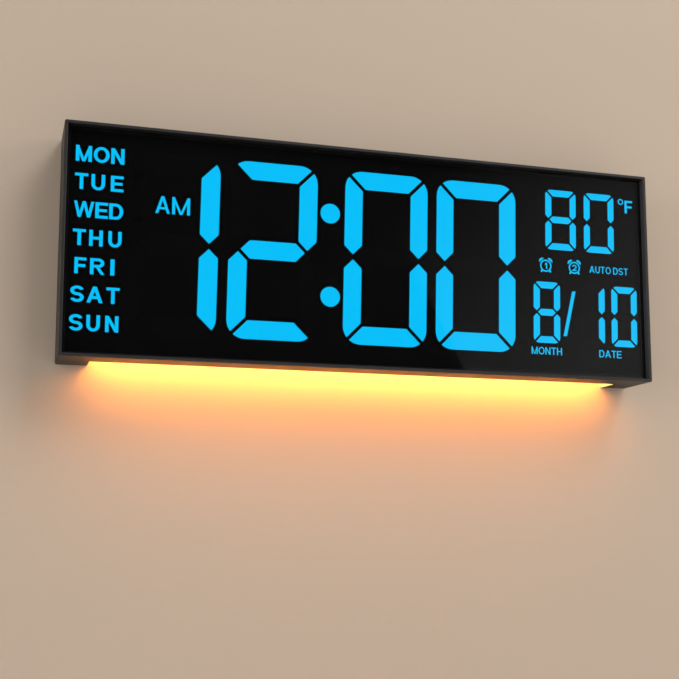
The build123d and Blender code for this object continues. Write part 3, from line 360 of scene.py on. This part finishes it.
def lay_plates(name, shapes, corner, across, up, thickness, material):
    """A thin solid for each list of strokes, joined where they overlap, standing on a flat face."""
    normal = across.cross(up)
    whole = bmesh.new()
    for strokes in shapes:
        points, outlines = [], []
        for stroke in strokes:
            turns = sum(x0 * y1 - x1 * y0 for (x0, y0), (x1, y1) in zip(stroke, stroke[1:] + stroke[:1]))
            outlines.append(list(range(len(points), len(points) + len(stroke))))
            points += [Vector(point) for point in (stroke if turns > 0 else stroke[::-1])]
        flat, _, cells, _, _, owners = delaunay_2d_cdt(points, [], outlines, 0, 1e-7)
        sheet = bmesh.new()
        spots = [sheet.verts.new(corner + across * p.x + up * p.y) for p in flat]
        for cell, owner in zip(cells, owners):
            if owner:
                sheet.faces.new([spots[i] for i in cell])
        bmesh.ops.delete(sheet, geom=[v for v in sheet.verts if not v.link_faces], context="VERTS")
        bmesh.ops.dissolve_limit(sheet, angle_limit=0.001, verts=sheet.verts, edges=sheet.edges)
        bmesh.ops.triangulate(sheet, faces=sheet.faces)
        grown = bmesh.ops.extrude_face_region(sheet, geom=list(sheet.faces))["geom"]
        raised = [item for item in grown if isinstance(item, bmesh.types.BMVert)]
        bmesh.ops.translate(sheet, vec=normal * thickness, verts=raised)
        bmesh.ops.recalc_face_normals(sheet, faces=sheet.faces)
        part = bpy.data.meshes.new("plate")
        sheet.to_mesh(part)
        whole.from_mesh(part)
        sheet.free()
        bpy.data.meshes.remove(part)
    mesh = bpy.data.meshes.new(name)
    whole.to_mesh(mesh)
    whole.free()
    mesh.materials.append(material)
    piece = bpy.data.objects.new(name, mesh)
    bpy.context.scene.collection.objects.link(piece)
    return piece


film_face = Vector((0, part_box("legend_film")[0].y, 0))
room_right, room_up = Vector((1, 0, 0)), Vector((0, 0, 1))

weekday_cap = 0.01035
weekday_stem = 0.00222
weekday_pitch = 0.01811
weekday_middle = 0.00150
weekday_rows = (
    (("M", -0.1974, -0.1874), ("O", -0.1863, -0.1764), ("N", -0.1754, -0.1670)),
    (("T", -0.1975, -0.1893), ("U", -0.1873, -0.1788), ("E", -0.1752, -0.1672)),
    (("W", -0.1976, -0.1851), ("E", -0.1844, -0.1765), ("D", -0.1758, -0.1670)),
    (("T", -0.1978, -0.1898), ("H", -0.1877, -0.1793), ("U", -0.1759, -0.1676)),
    (("F", -0.1963, -0.1890), ("R", -0.1867, -0.1777), ("I", -0.1742, -0.1716)),
    (("S", -0.1983, -0.1900), ("A", -0.1883, -0.1784), ("T", -0.1763, -0.1680)),
    (("S", -0.1986, -0.1902), ("U", -0.1880, -0.1797), ("N", -0.1765, -0.1683)),
)
middle_row = len(weekday_rows) // 2
weekday_letters = []
for row, day in enumerate(weekday_rows):
    row_z = weekday_middle + (middle_row - row) * weekday_pitch - weekday_cap / 2
    for letter, left, right in day:
        weekday_letters += word(letter, left, right, row_z, weekday_cap, weekday_stem, 0)

morning_foot, morning_cap = 0.0209, 0.01135
scale_foot, scale_cap = 0.0484, 0.0095
saving_foot, saving_cap, saving_stem = 0.0025, 0.0050, 0.00076
calendar_foot, calendar_cap, calendar_stem = -0.0581, 0.0052, 0.00086
degree_place = (0.1877, 0.0566)
degree_radii = (0.0022, 0.0022)
degree_walls = (0.00085, 0.00085)
readout_letters = [ring(*degree_place, degree_radii, degree_walls)]
for text, left, right, bottom, cap, stem, gap in (
    ("A", -0.1468, -0.1375, morning_foot, morning_cap, 0.00180, 0),
    ("M", -0.1361, -0.1245, morning_foot, morning_cap, 0.00195, 0),
    ("F", 0.1909, 0.1972, scale_foot, scale_cap, 0.00185, 0),
    ("AUTO", 0.1612, 0.1782, saving_foot, saving_cap, saving_stem, 0.0006),
    ("DST", 0.1801, 0.1920, saving_foot, saving_cap, saving_stem, 0.0007),
    ("MONTH", 0.1148, 0.1381, calendar_foot, calendar_cap, calendar_stem, 0.0006),
    ("DATE", 0.16715, 0.1848, calendar_foot, calendar_cap, calendar_stem, 0.0005),
):
    readout_letters += word(text, left, right, bottom, cap, stem, gap)


def alarm_sign(x, z, radius, wall, numeral):
    """A round clock with two bells and two feet about its middle, and a numeral inside."""
    splay = math.radians(40)
    steps = 16
    turns = [math.pi * i / steps for i in range(steps + 1)]
    dome = [(0.51 * radius * math.cos(t), (1.13 + 0.36 * math.sin(t)) * radius) for t in turns]
    foot = slab(-0.15 * radius, 0.9 * radius, 0.15 * radius, 1.33 * radius)
    shapes = [ring(x, z, (radius, radius), (wall, wall))]
    for side in (-1, 1):
        out_x, out_z = side * math.sin(splay), math.cos(splay)
        shapes.append([[(x + a * out_z + b * out_x, z - a * out_x + b * out_z) for a, b in dome]])
        shapes[0].append([(x + a * out_z + b * out_x, z + a * out_x - b * out_z) for a, b in foot])
    if numeral:
        high, wide = 1.02 * radius, letter_widths[numeral] * 1.02 * radius
        shapes += word(numeral, x - wide / 2, x + wide / 2, z - high / 2, high, 0.9 * wall, 0)
    return shapes


alarm_radius = 0.0044
alarm_wall = 0.00102
alarm_height = 0.00525
alarm_signs = []
for alarm_x, numeral in ((0.12715, "1"), (0.14935, "2")):
    alarm_signs += alarm_sign(alarm_x, alarm_height, alarm_radius, alarm_wall, numeral)
for name, shapes in (
    ("weekday_legends", weekday_letters),
    ("readout_legends", readout_letters),
    ("alarm_legends", alarm_signs),
):
    legend = lay_plates(name, shapes, film_face, room_right, room_up, ink_thickness, lit_acrylic)
    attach(legend, "case")


# Lens: a sheet of smoked acrylic glued to the ledge of the frame. It is cut from polished stock, so
# its gloss is sharp apart from faint smears, and only light from behind comes through it. A band along
# its border is printed black from behind, so that the glue doesn't show, and it mirrors more there.
# A thin line along the inner edge of the band is denser still: a painted highlight line that mirrors more.
lens_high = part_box("front_lens")[1]
lens_density = 0.40
border_density = 0.60
border_width = 0.0024
highlight_line_width = 0.0003
highlight_line_density = 0.2
smear_size = 0.05
lens_acrylic, lens_shader, lens_place = new_finish("lens_acrylic", {"IOR": 1.49, "Specular IOR Level": 0.62})
lens_x, _, lens_z = axes_of(lens_place)
lens_inset = lens_x.maths("MINIMUM", lens_high.x - abs(lens_x), lens_high.z - abs(lens_z))
border = 1 - ramp(lens_inset, border_width - tone_near, border_width + tone_near)
# Painted highlight: a thin denser line at the inner edge of the border, which mirrors more.
border_highlight_line = 1 - ramp(abs(lens_inset - border_width), 0.5 * highlight_line_width, highlight_line_width)
density = lens_density + (border_density - lens_density) * border + highlight_line_density * border_highlight_line
density.into(lens_shader, "Alpha")
smear = mottle(lens_place, smear_size, 3.0)
tint(smear, (0.0030, 0.0030, 0.0033), (0.0042, 0.0042, 0.0046)).into(lens_shader, "Base Color")
lens_haze = 0.03 * ramp(smear, 0.45, 0.75) + 0.010 * mottle(lens_place, 0.002)
(0.020 + lens_haze).into(lens_shader, "Roughness")
dress(lens_acrylic, "front_lens")


# Boards: glass-epoxy sheets with a green mask over copper tracks. The display board carries the
# emitters behind the wells, the main board the controls, and a narrow one the night light.
tracks_per_metre = 190.0
board_mask, board_shader, board_place = new_finish("board_mask", {"IOR": 1.52})
track_sockets = {"Vector": board_place, "Scale": tracks_per_metre}
tracks = board_place.node("ShaderNodeTexVoronoi", {"feature": "DISTANCE_TO_EDGE"}, track_sockets)
track_mask = ramp(tracks, 0.03, 0.06)
tint(track_mask, (0.040, 0.150, 0.050), (0.012, 0.070, 0.028)).into(board_shader, "Base Color")
(0.30 + 0.12 * mottle(board_place, 0.003)).into(board_shader, "Roughness")
raise_grain(board_shader, 1 - track_mask, 0.5, 0.00003)
dress(board_mask, "display_board", "main_board", "light_bar_board")


# Emitters: small white moulded packages, capped with yellow phosphor in the night light. They are
# soldered behind the wells of the display, and in a row under the board of the night light.
phosphor, phosphor_shader, phosphor_place = new_finish("phosphor", {"Emission Strength": 1.2})
phosphor_spots = mottle(phosphor_place, 0.0012)
tint(phosphor_spots, (0.72, 0.66, 0.40), (0.80, 0.78, 0.66)).into(phosphor_shader, "Base Color")
tint(phosphor_spots, (0.9, 0.55, 0.20), (1.0, 0.70, 0.35)).into(phosphor_shader, "Emission Color")
(0.40 + 0.15 * phosphor_spots).into(phosphor_shader, "Roughness")
dress(phosphor, "light_bar_leds")
cap_white = moulded_plastic(
    "cap_white", (0.55, 0.56, 0.56), (0.66, 0.66, 0.64), 0.42, 0.0006, 0.00001
)[0]
dress(cap_white, "display_leds")


# Chips, sensors, connectors, capacitor and leads: black epoxy and nylon bodies, a blue shrunk sleeve and
# red insulation, all soldered to the boards. The infrared receiver and the light sensor are nearly black,
# and sit on the front so that they look out beside the digits.
epoxy_black = moulded_plastic(
    "epoxy_black", (0.014, 0.014, 0.015), (0.022, 0.022, 0.023), 0.48, 0.0003, 0.00002
)[0]
dress(epoxy_black, "driver_chips", "control_chip", "buzzer", "temperature_sensor")
sensor_face = moulded_plastic(
    "sensor_face", (0.0016, 0.0014, 0.0015), (0.0024, 0.0020, 0.0021), 0.58, 0.0008, 0.00001, 0.06
)[0]
dress(sensor_face, "light_sensor", "ir_receiver")
connector_black = moulded_plastic(
    "connector_black", (0.016, 0.016, 0.016), (0.028, 0.028, 0.027), 0.38, 0.0004, 0.00002
)[0]
dress(connector_black, "link_header", "link_socket", "dc_jack", "tact_switches")
sleeve_blue = moulded_plastic(
    "sleeve_blue", (0.010, 0.016, 0.040), (0.016, 0.024, 0.055), 0.30, 0.0008, 0.00001
)[0]
dress(sleeve_blue, "smoothing_capacitor")
lead_red = moulded_plastic(
    "lead_red", (0.30, 0.015, 0.012), (0.38, 0.022, 0.016), 0.45, 0.0005, 0.00001
)[0]
dress(lead_red, "cell_leads", "light_bar_leads")


# Steel: screws, leg pins, contacts, the cell and the crystal's can. They are nickel plated, with fine
# rolling lines and a few dull patches.
def plated_steel(name, dark, light, roughness):
    """Nickel-plated steel with rolling lines and dull patches."""
    material, shader, place = new_finish(name, {"Metallic": 1.0})
    patch = mottle(place, 0.004, 3.0)
    tint(patch, dark, light).into(shader, "Base Color")
    line_sockets = {"Vector": place, "Scale": 900.0, "Distortion": 6.0, "Detail": 2.0}
    lines = place.node("ShaderNodeTexWave", {"bands_direction": "DIAGONAL"}, line_sockets, 1)
    (roughness + 0.10 * patch + 0.06 * lines).into(shader, "Roughness")
    raise_grain(shader, lines, 0.06, 0.00001)
    return material


screw_steel = plated_steel("screw_steel", (0.42, 0.42, 0.43), (0.58, 0.58, 0.58), 0.24)
dress(screw_steel, "display_screws", "board_screws", "leg_pins", "clock_crystal", "coin_cell")
contact_steel = plated_steel("contact_steel", (0.55, 0.53, 0.48), (0.66, 0.64, 0.58), 0.20)
dress(contact_steel, "plus_contact", "minus_contact")


# Rear cover: the deep black tray that closes the back, with leg pockets, keyholes, vents and the button
# panel. It has a coarser grain than the front frame, and its recess for the night light is sprayed white.
# A thin painted shadow, which also stands for the dark joint, runs along its parting line with the frame.
recess_white = (0.62, 0.60, 0.56)
recess_end = 0.1846
recess_front = -0.0192
recess_top = -0.0608
spray_edge = 0.0004
cover_plastic, cover_shader, cover_place, cover_tone = moulded_plastic(
    "cover_plastic", (0.0175, 0.0175, 0.0185), (0.026, 0.0255, 0.026), 0.55, 0.00045, 0.00005, 0.35
)
cover_x, cover_y, cover_z = axes_of(cover_place)
sprayed = 1 - ramp(abs(cover_x), recess_end, recess_end + spray_edge)
sprayed = sprayed * ramp(cover_y, recess_front - spray_edge, recess_front)
sprayed = sprayed * (1 - ramp(cover_z, recess_top, recess_top + spray_edge))
# Painted shadow line along the parting line with the front frame, also a dark joint.
cover_seam_dust_and_shade = 1 - ramp(abs(cover_y - frame_high.y), tone_near, tone_far)
cover_tone = over(sprayed, cover_tone, recess_white)
over(cover_seam_dust_and_shade, cover_tone, seam_dust_and_shade).into(cover_shader, "Base Color")
dress(cover_plastic, "rear_cover")


# Night light diffuser: a milky extruded channel under the ceiling of the recess. The emitters in it
# make it glow amber, a little brighter below each one.
bar_low, bar_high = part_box("light_bar_diffuser")
emitter_count = 24
emitter_pitch = (bar_high.x - bar_low.x) / emitter_count
amber_deep = (1.0, 0.33, 0.050)
amber_bright = (1.0, 0.38, 0.065)
milky, milky_shader, milky_place = new_finish("milky", {"Emission Strength": 40.0, "IOR": 1.49})
emitter_phase = axes_of(milky_place)[0] * (2 * math.pi / emitter_pitch)
emitter_glow = 0.5 + 0.5 * emitter_phase.maths("COSINE", emitter_phase, 0.0)
tint(emitter_glow, amber_deep, amber_bright).into(milky_shader, "Emission Color")
tint(mottle(milky_place, 0.003), (0.72, 0.66, 0.55), (0.80, 0.75, 0.65)).into(milky_shader, "Base Color")
(0.38 + 0.10 * mottle(milky_place, 0.0008)).into(milky_shader, "Roughness")
dress(milky, "light_bar_diffuser")


# Battery door and buttons: the same black ABS with a smoother grain. The door lies flush in its seat,
# and the five crowned buttons stand in a shallow panel with printed signs under them.
door_plastic = moulded_plastic(
    "door_plastic", (0.018, 0.018, 0.019), (0.025, 0.0245, 0.025), 0.50, 0.00035, 0.00004
)[0]
dress(door_plastic, "battery_door")
button_plastic = moulded_plastic(
    "button_plastic", (0.026, 0.026, 0.027), (0.036, 0.0355, 0.036), 0.36, 0.00025, 0.00001
)[0]
button_row = ("set_button", "up_button", "down_button", "alarm_button", "light_button")
dress(button_plastic, *button_row)

print_white = moulded_plastic(
    "print_white", (0.62, 0.62, 0.60), (0.72, 0.72, 0.70), 0.60, 0.0003, 0.00001
)[0]
panel_depth = 0.0015
sign_height = 0.0024
sign_drop = 0.0078
sign_stroke = 0.00042
sign_gap = 0.0004
set_half = 0.0030
wall_right = Vector((-1, 0, 0))


def light_sign(x, z, radius):
    """A small sun: a disc with eight rays."""
    disc = (0.42 * radius, 0.42 * radius)
    ray_ends = (radius, radius)
    ray_lengths = (0.36 * radius, 0.36 * radius)
    ray_half = 8
    shapes = [[bow(x, z, disc, disc, 0, 360)]]
    for turn in range(0, 360, 45):
        shapes.append([bow(x, z, ray_ends, ray_lengths, turn - ray_half, turn + ray_half, 2)])
    return shapes


button_x = [-(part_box(name)[0].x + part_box(name)[1].x) / 2 for name in button_row]
sign_bottom = -sign_drop - sign_height / 2
set_x, plus_x, minus_x, alarm_x, light_x = button_x
plus_half = 0.5 * sign_height
cross_bar = slab(-plus_half, -sign_stroke / 2, plus_half, sign_stroke / 2)
cross_stem = slab(-sign_stroke / 2, -plus_half, sign_stroke / 2, plus_half)
signs = word("SET", set_x - set_half, set_x + set_half, sign_bottom, sign_height, sign_stroke, sign_gap)
signs.append(moved([cross_bar, cross_stem], plus_x, -sign_drop))
signs.append(moved([cross_bar], minus_x, -sign_drop))
signs += alarm_sign(alarm_x, -sign_drop, 0.40 * sign_height, 0.6 * sign_stroke, "")
signs += light_sign(light_x, -sign_drop, 0.6 * sign_height)
button_signs = lay_plates(
    "button_signs", signs, Vector((0, -panel_depth, 0)), wall_right, room_up, ink_thickness, print_white
)
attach(button_signs, "case")


# Stand legs: two flat paddles of the same black plastic that fold flush into pockets in the back. Each
# swings out on a steel pin at the foot of its pocket, and then props the clock up on a table.
leg_plastic = moulded_plastic(
    "leg_plastic", (0.020, 0.020, 0.021), (0.028, 0.0275, 0.028), 0.48, 0.0004, 0.00004
)[0]
dress(leg_plastic, "left_leg", "right_leg")


# Case screws and the door's screw: pan heads with a cross recess, in plated steel. Six stand deep in the
# posts of the rear cover and reach into the front frame, and one stays in the battery door.
screw_tree = bpy.data.node_groups.new("pan_head_screw", "GeometryNodeTree")
screw_tree.interface.new_socket("Geometry", in_out="INPUT", socket_type="NodeSocketGeometry")
screw_tree.interface.new_socket("Geometry", in_out="OUTPUT", socket_type="NodeSocketGeometry")
for measure in (
    "Head Radius",
    "Head Height",
    "Shank Radius",
    "Shank Length",
    "Recess Width",
    "Recess Depth",
):
    screw_tree.interface.new_socket(measure, in_out="INPUT", socket_type="NodeSocketFloat")
screw_tree.interface.new_socket("Steel", in_out="INPUT", socket_type="NodeSocketMaterial")
screw_inputs = screw_tree.nodes.new("NodeGroupInput").outputs
sized = {socket.name: Socket(screw_tree, socket) for socket in screw_inputs if socket.name}
head_radius, head_height = sized["Head Radius"], sized["Head Height"]
head_sockets = {"Vertices": 40, "Fill Segments": 6, "Radius": head_radius, "Depth": head_height}
head = head_radius.node("GeometryNodeMeshCylinder", {}, head_sockets)
spot_x, spot_y, _ = axes_of(head.node("GeometryNodeInputPosition", {}, {}))
span = spot_x * spot_x + spot_y * spot_y
span = span.maths("DIVIDE", span, head_radius * head_radius)
sag = head.node("ShaderNodeCombineXYZ", {}, {2: -0.42 * head_height * span * span})
crown = Socket(screw_tree, head.socket.node.outputs["Top"])
head = head.node("GeometryNodeSetPosition", {}, {"Geometry": head, "Selection": crown, "Offset": sag})
recess_long = 1.15 * head_radius
recess_deep = 2 * sized["Recess Depth"]
recess_arms = []
for arm_x, arm_y in ((recess_long, sized["Recess Width"]), (sized["Recess Width"], recess_long)):
    arm_size = head.node("ShaderNodeCombineXYZ", {}, {0: arm_x, 1: arm_y, 2: recess_deep})
    arm = head.node("GeometryNodeMeshCube", {}, {"Size": arm_size})
    lift = head.node("ShaderNodeCombineXYZ", {}, {2: 0.5 * head_height})
    recess_arms.append(head.node("GeometryNodeTransform", {}, {"Geometry": arm, "Translation": lift}))
cut = {"operation": "DIFFERENCE", "solver": "EXACT"}
for arm in recess_arms:
    head = head.node("GeometryNodeMeshBoolean", cut, {"Mesh 1": head, "Mesh 2": arm})
shank_sockets = {"Vertices": 24, "Radius": sized["Shank Radius"], "Depth": sized["Shank Length"]}
shank = head.node("GeometryNodeMeshCylinder", {}, shank_sockets)
drop = head.node("ShaderNodeCombineXYZ", {}, {2: -0.5 * (sized["Shank Length"] + head_height)})
shank = head.node("GeometryNodeTransform", {}, {"Geometry": shank, "Translation": drop})
joined = screw_tree.nodes.new("GeometryNodeJoinGeometry")
for solid in (shank, head):
    screw_tree.links.new(solid.socket, joined.inputs[0])
seat_sockets = {
    "Geometry": Socket(screw_tree, joined.outputs[0]),
    "Translation": head.node("ShaderNodeCombineXYZ", {}, {1: 0.5 * head_height}),
    "Rotation": (-math.pi / 2, 0, 0),
}
seated = head.node("GeometryNodeTransform", {}, seat_sockets)
point_sockets = {"Points": sized["Geometry"], "Instance": seated}
placed_screws = head.node("GeometryNodeInstanceOnPoints", {}, point_sockets)
solid_screws = head.node("GeometryNodeRealizeInstances", {}, {"Geometry": placed_screws})
steel_sockets = {"Geometry": solid_screws, "Material": sized["Steel"]}
steel_screws = head.node("GeometryNodeSetMaterial", {}, steel_sockets)
screw_tree.links.new(steel_screws.socket, screw_tree.nodes.new("NodeGroupOutput").inputs[0])


def drive_screws(name, seats, sizes, body, node):
    """Screws whose heads stand on the given seats, with their crowns facing back."""
    points = bpy.data.meshes.new(name)
    points.from_pydata(seats, [], [])
    piece = bpy.data.objects.new(name, points)
    bpy.context.scene.collection.objects.link(piece)
    modifier = piece.modifiers.new("screws", "NODES")
    modifier.node_group = screw_tree
    for item in screw_tree.interface.items_tree:
        if item.name in sizes:
            modifier[item.identifier] = sizes[item.name]
    evaluated = piece.evaluated_get(bpy.context.evaluated_depsgraph_get())
    piece.data = bpy.data.meshes.new_from_object(evaluated)
    piece.modifiers.clear()
    for polygon in piece.data.polygons:
        polygon.use_smooth = True
    piece.data.set_sharp_from_angle(angle=math.radians(35))
    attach(piece, body)
    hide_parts(node)


case_low, case_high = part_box("rear_cover")
case_width = case_high.x - case_low.x
screw_inset = 0.0045
end_block_width = 0.0206
screw_row = case_high.z - screw_inset
low_screw_x = case_high.x - end_block_width / 2
top_screw_shares = (-0.463, -0.158, 0.158, 0.463)
screw_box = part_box("case_screws")
case_head_height = 0.0018
case_seat = screw_box[1].y - case_head_height
case_seats = [(share * case_width, case_seat, screw_row) for share in top_screw_shares]
case_seats += [(side * low_screw_x, case_seat, -screw_row) for side in (-1, 1)]
case_sizes = {
    "Head Radius": 0.0025,
    "Head Height": case_head_height,
    "Shank Radius": 0.0013,
    "Shank Length": case_seat - screw_box[0].y,
    "Recess Width": 0.0008,
    "Recess Depth": 0.0011,
    "Steel": screw_steel,
}
drive_screws("case_screw_set", case_seats, case_sizes, "case", "case_screws")

door_screw_low, door_screw_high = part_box("door_screw")
door_head_height = 0.0012
door_seat = door_screw_high.y - door_head_height
door_middle = (door_screw_low + door_screw_high) / 2
door_seats = [(door_middle.x, door_seat, door_middle.z)]
door_sizes = {
    "Head Radius": (door_screw_high.x - door_screw_low.x) / 2,
    "Head Height": door_head_height,
    "Shank Radius": 0.0009,
    "Shank Length": door_seat - door_screw_low.y,
    "Recess Width": 0.0006,
    "Recess Depth": 0.0008,
    "Steel": screw_steel,
}
drive_screws("door_screw_head", door_seats, door_sizes, "battery_door", "door_screw")


# Backdrop and floor: a plain pale sheet just behind the clock, which takes the glow of the night light,
# and a plain pale floor below. The sheet is open behind the case, and shows nothing from behind.
wall_gap = 0.0001
wall_reach = 2.2
floor_drop = 0.44
hole_inset = 0.0012
hole_x, hole_z = case_high.x - hole_inset, case_high.z - hole_inset
glow_margin = 0.003
glow_x, glow_z = bar_high.x + glow_margin, bar_high.z + hole_inset
wall_columns = (-wall_reach, -hole_x, -glow_x, glow_x, hole_x, wall_reach)
wall_rows = (-floor_drop, -hole_z, glow_z, hole_z, wall_reach)
open_panes = ((1, 1), (3, 1), (1, 2), (2, 2), (3, 2))
wall_mesh = bmesh.new()
wall_spots = [[wall_mesh.verts.new((x, wall_gap, z)) for z in wall_rows] for x in wall_columns]
for i in range(len(wall_columns) - 1):
    for j in range(len(wall_rows) - 1):
        if (i, j) not in open_panes:
            near, far = wall_spots[i], wall_spots[i + 1]
            wall_mesh.faces.new((near[j], far[j], far[j + 1], near[j + 1]))
wall_data = bpy.data.meshes.new("studio_wall")
wall_mesh.to_mesh(wall_data)
wall_mesh.free()
studio_wall = bpy.data.objects.new("studio_wall", wall_data)
bpy.context.scene.collection.objects.link(studio_wall)
wall_paint, wall_shader, wall_place = new_finish("wall_paint", {"Roughness": 0.9, "Specular IOR Level": 0.2})
tint(mottle(wall_place, 0.4), (0.46, 0.385, 0.315), (0.49, 0.41, 0.335)).into(wall_shader, "Base Color")
seen_from_behind = wall_place.node("ShaderNodeNewGeometry", {}, {}, "Backfacing")
wall_solid = Socket(wall_place.tree, wall_shader.outputs[0])
wall_clear = wall_place.node("ShaderNodeBsdfTransparent", {}, {})
wall_mix = wall_place.node("ShaderNodeMixShader", {}, {0: seen_from_behind, 1: wall_solid, 2: wall_clear})
wall_mix.into(wall_place.tree.nodes["Material Output"], "Surface")
wall_data.materials.append(wall_paint)

floor_reach = 9.0
floor_data = bpy.data.meshes.new("studio_floor")
floor_corners = slab(-floor_reach, -floor_reach, floor_reach, floor_reach)
floor_data.from_pydata([(x, y, -floor_drop) for x, y in floor_corners], [], [(0, 1, 2, 3)])
studio_floor = bpy.data.objects.new("studio_floor", floor_data)
bpy.context.scene.collection.objects.link(studio_floor)
floor_constants = {"Roughness": 0.8, "Specular IOR Level": 0.2}
floor_paint, floor_shader, floor_place = new_finish("floor_paint", floor_constants)
tint(mottle(floor_place, 0.5), (0.66, 0.65, 0.63), (0.70, 0.69, 0.67)).into(floor_shader, "Base Color")
fade_start, fade_stop = 1.2, 4.0
floor_spread = floor_place.node("ShaderNodeVectorMath", {"operation": "LENGTH"}, {0: floor_place}, 1)
(1 - ramp(floor_spread, fade_start, fade_stop)).into(floor_shader, "Alpha")
floor_data.materials.append(floor_paint)


# Black card: a matt cloth in the studio, where the lens mirrors it. It is dense on the left of a slanting
# edge, so that the lens stays black there, thins out to the right of it, and fades at its own edges.
card_y = -1.5
card_corners = slab(-0.90, -0.40, 1.15, 0.80)
edge_slope = 0.518
edge_start, edge_stop = 0.759, 0.768
veil_middle, veil_across, veil_up = 1.070, -1.020, 0.971
veil_least = 0.267
fade_left, fade_low = (-0.85, -0.14), (-0.38, 0.16)
card_data = bpy.data.meshes.new("black_card")
card_data.from_pydata([(x, card_y, z) for x, z in card_corners], [], [(0, 1, 2, 3)])
black_card = bpy.data.objects.new("black_card", card_data)
bpy.context.scene.collection.objects.link(black_card)
card_paint, card_shader, card_place = new_finish("card_paint", {"Roughness": 0.9, "Specular IOR Level": 0.1})
tint(mottle(card_place, 0.1), (0.010, 0.010, 0.010), (0.016, 0.016, 0.016)).into(card_shader, "Base Color")
card_x, _, card_z = axes_of(card_place)
dense = 1 - ramp(card_x + edge_slope * card_z, edge_start, edge_stop)
veil = veil_middle + veil_across * card_x + veil_up * card_z
veil = veil.node("ShaderNodeClamp", {}, {"Value": veil, "Min": veil_least})
card_fade = ramp(card_x, *fade_left) * ramp(card_z, *fade_low)
(dense.maths("MAXIMUM", dense, veil) * card_fade).into(card_shader, "Alpha")
card_data.materials.append(card_paint)
black_card.visible_camera = False


# Studio light: large soft boxes above and to the sides, and two more behind for the back. The room is an
# even white, a little lighter where it is seen straight, in a mirror or through something clear.
def soft_box(name, place, aim, size, watts, colour):
    """A square area lamp that looks at a point and isn't seen itself."""
    lamp = bpy.data.lights.new(name, "AREA")
    lamp.shape = "SQUARE"
    lamp.size = size
    lamp.energy = watts
    lamp.color = colour
    box = bpy.data.objects.new(name, lamp)
    box.location = place
    box.rotation_euler = (Vector(aim) - Vector(place)).to_track_quat("-Z", "Y").to_euler()
    box.visible_camera = False
    bpy.context.scene.collection.objects.link(box)


warm_white, cool_white = (1.0, 0.94, 0.88), (0.92, 0.96, 1.0)
room_strength, backdrop_gain = 0.55, 0.20
soft_box("key_box", (1.0, -1.5, 1.9), (0, 0, 0), 1.2, 40.0, warm_white)
soft_box("side_box", (2.1, -1.3, 0.7), (0, 0, 0), 1.0, 16.0, warm_white)
soft_box("left_box", (-1.9, -0.9, 0.1), (0, 0, 0), 1.0, 11.0, warm_white)
soft_box("back_box", (-1.0, 1.8, 1.3), (0, 0, 0), 1.2, 44.0, warm_white)
soft_box("back_side_box", (1.5, 1.4, 0.3), (0, 0, 0), 1.0, 18.0, cool_white)
studio = bpy.data.worlds.new("studio")
bpy.context.scene.world = studio
studio.use_nodes = True
room = studio.node_tree.nodes["Background"]
room.inputs["Color"].default_value = (1.0, 0.985, 0.965, 1)
ray_kinds = studio.node_tree.nodes.new("ShaderNodeLightPath").outputs
backdrop_rays = Socket(studio.node_tree, ray_kinds["Is Camera Ray"])
for ray_kind in ("Is Glossy Ray", "Is Transmission Ray"):
    ray = Socket(studio.node_tree, ray_kinds[ray_kind])
    backdrop_rays = ray.maths("MAXIMUM", backdrop_rays, ray)
(room_strength + backdrop_gain * backdrop_rays).into(room, "Strength")
bpy.context.scene.view_settings.view_transform = "Standard"


# Camera: below and to the left of the clock, looking up at it, as in the photograph. The picture is
# taken a little higher than the lens points, so the frame is shifted up.
photo_side = 679
focal_pixels = 1166.5
axis_row = 396.5
camera_place = Vector((-0.2385, -0.7599, -0.1907))
camera_look = Vector((0.28020, 0.95141, 0.12771))
lens_data = bpy.data.cameras.new("photo_camera")
lens_data.sensor_width = 36.0
lens_data.lens = lens_data.sensor_width * focal_pixels / photo_side
lens_data.shift_y = (axis_row - photo_side / 2) / photo_side
lens_data.clip_start = 0.01
camera = bpy.data.objects.new("photo_camera", lens_data)
camera.location = camera_place
camera.rotation_euler = camera_look.to_track_quat("-Z", "Y").to_euler()
bpy.context.scene.collection.objects.link(camera)
bpy.context.scene.camera = camera
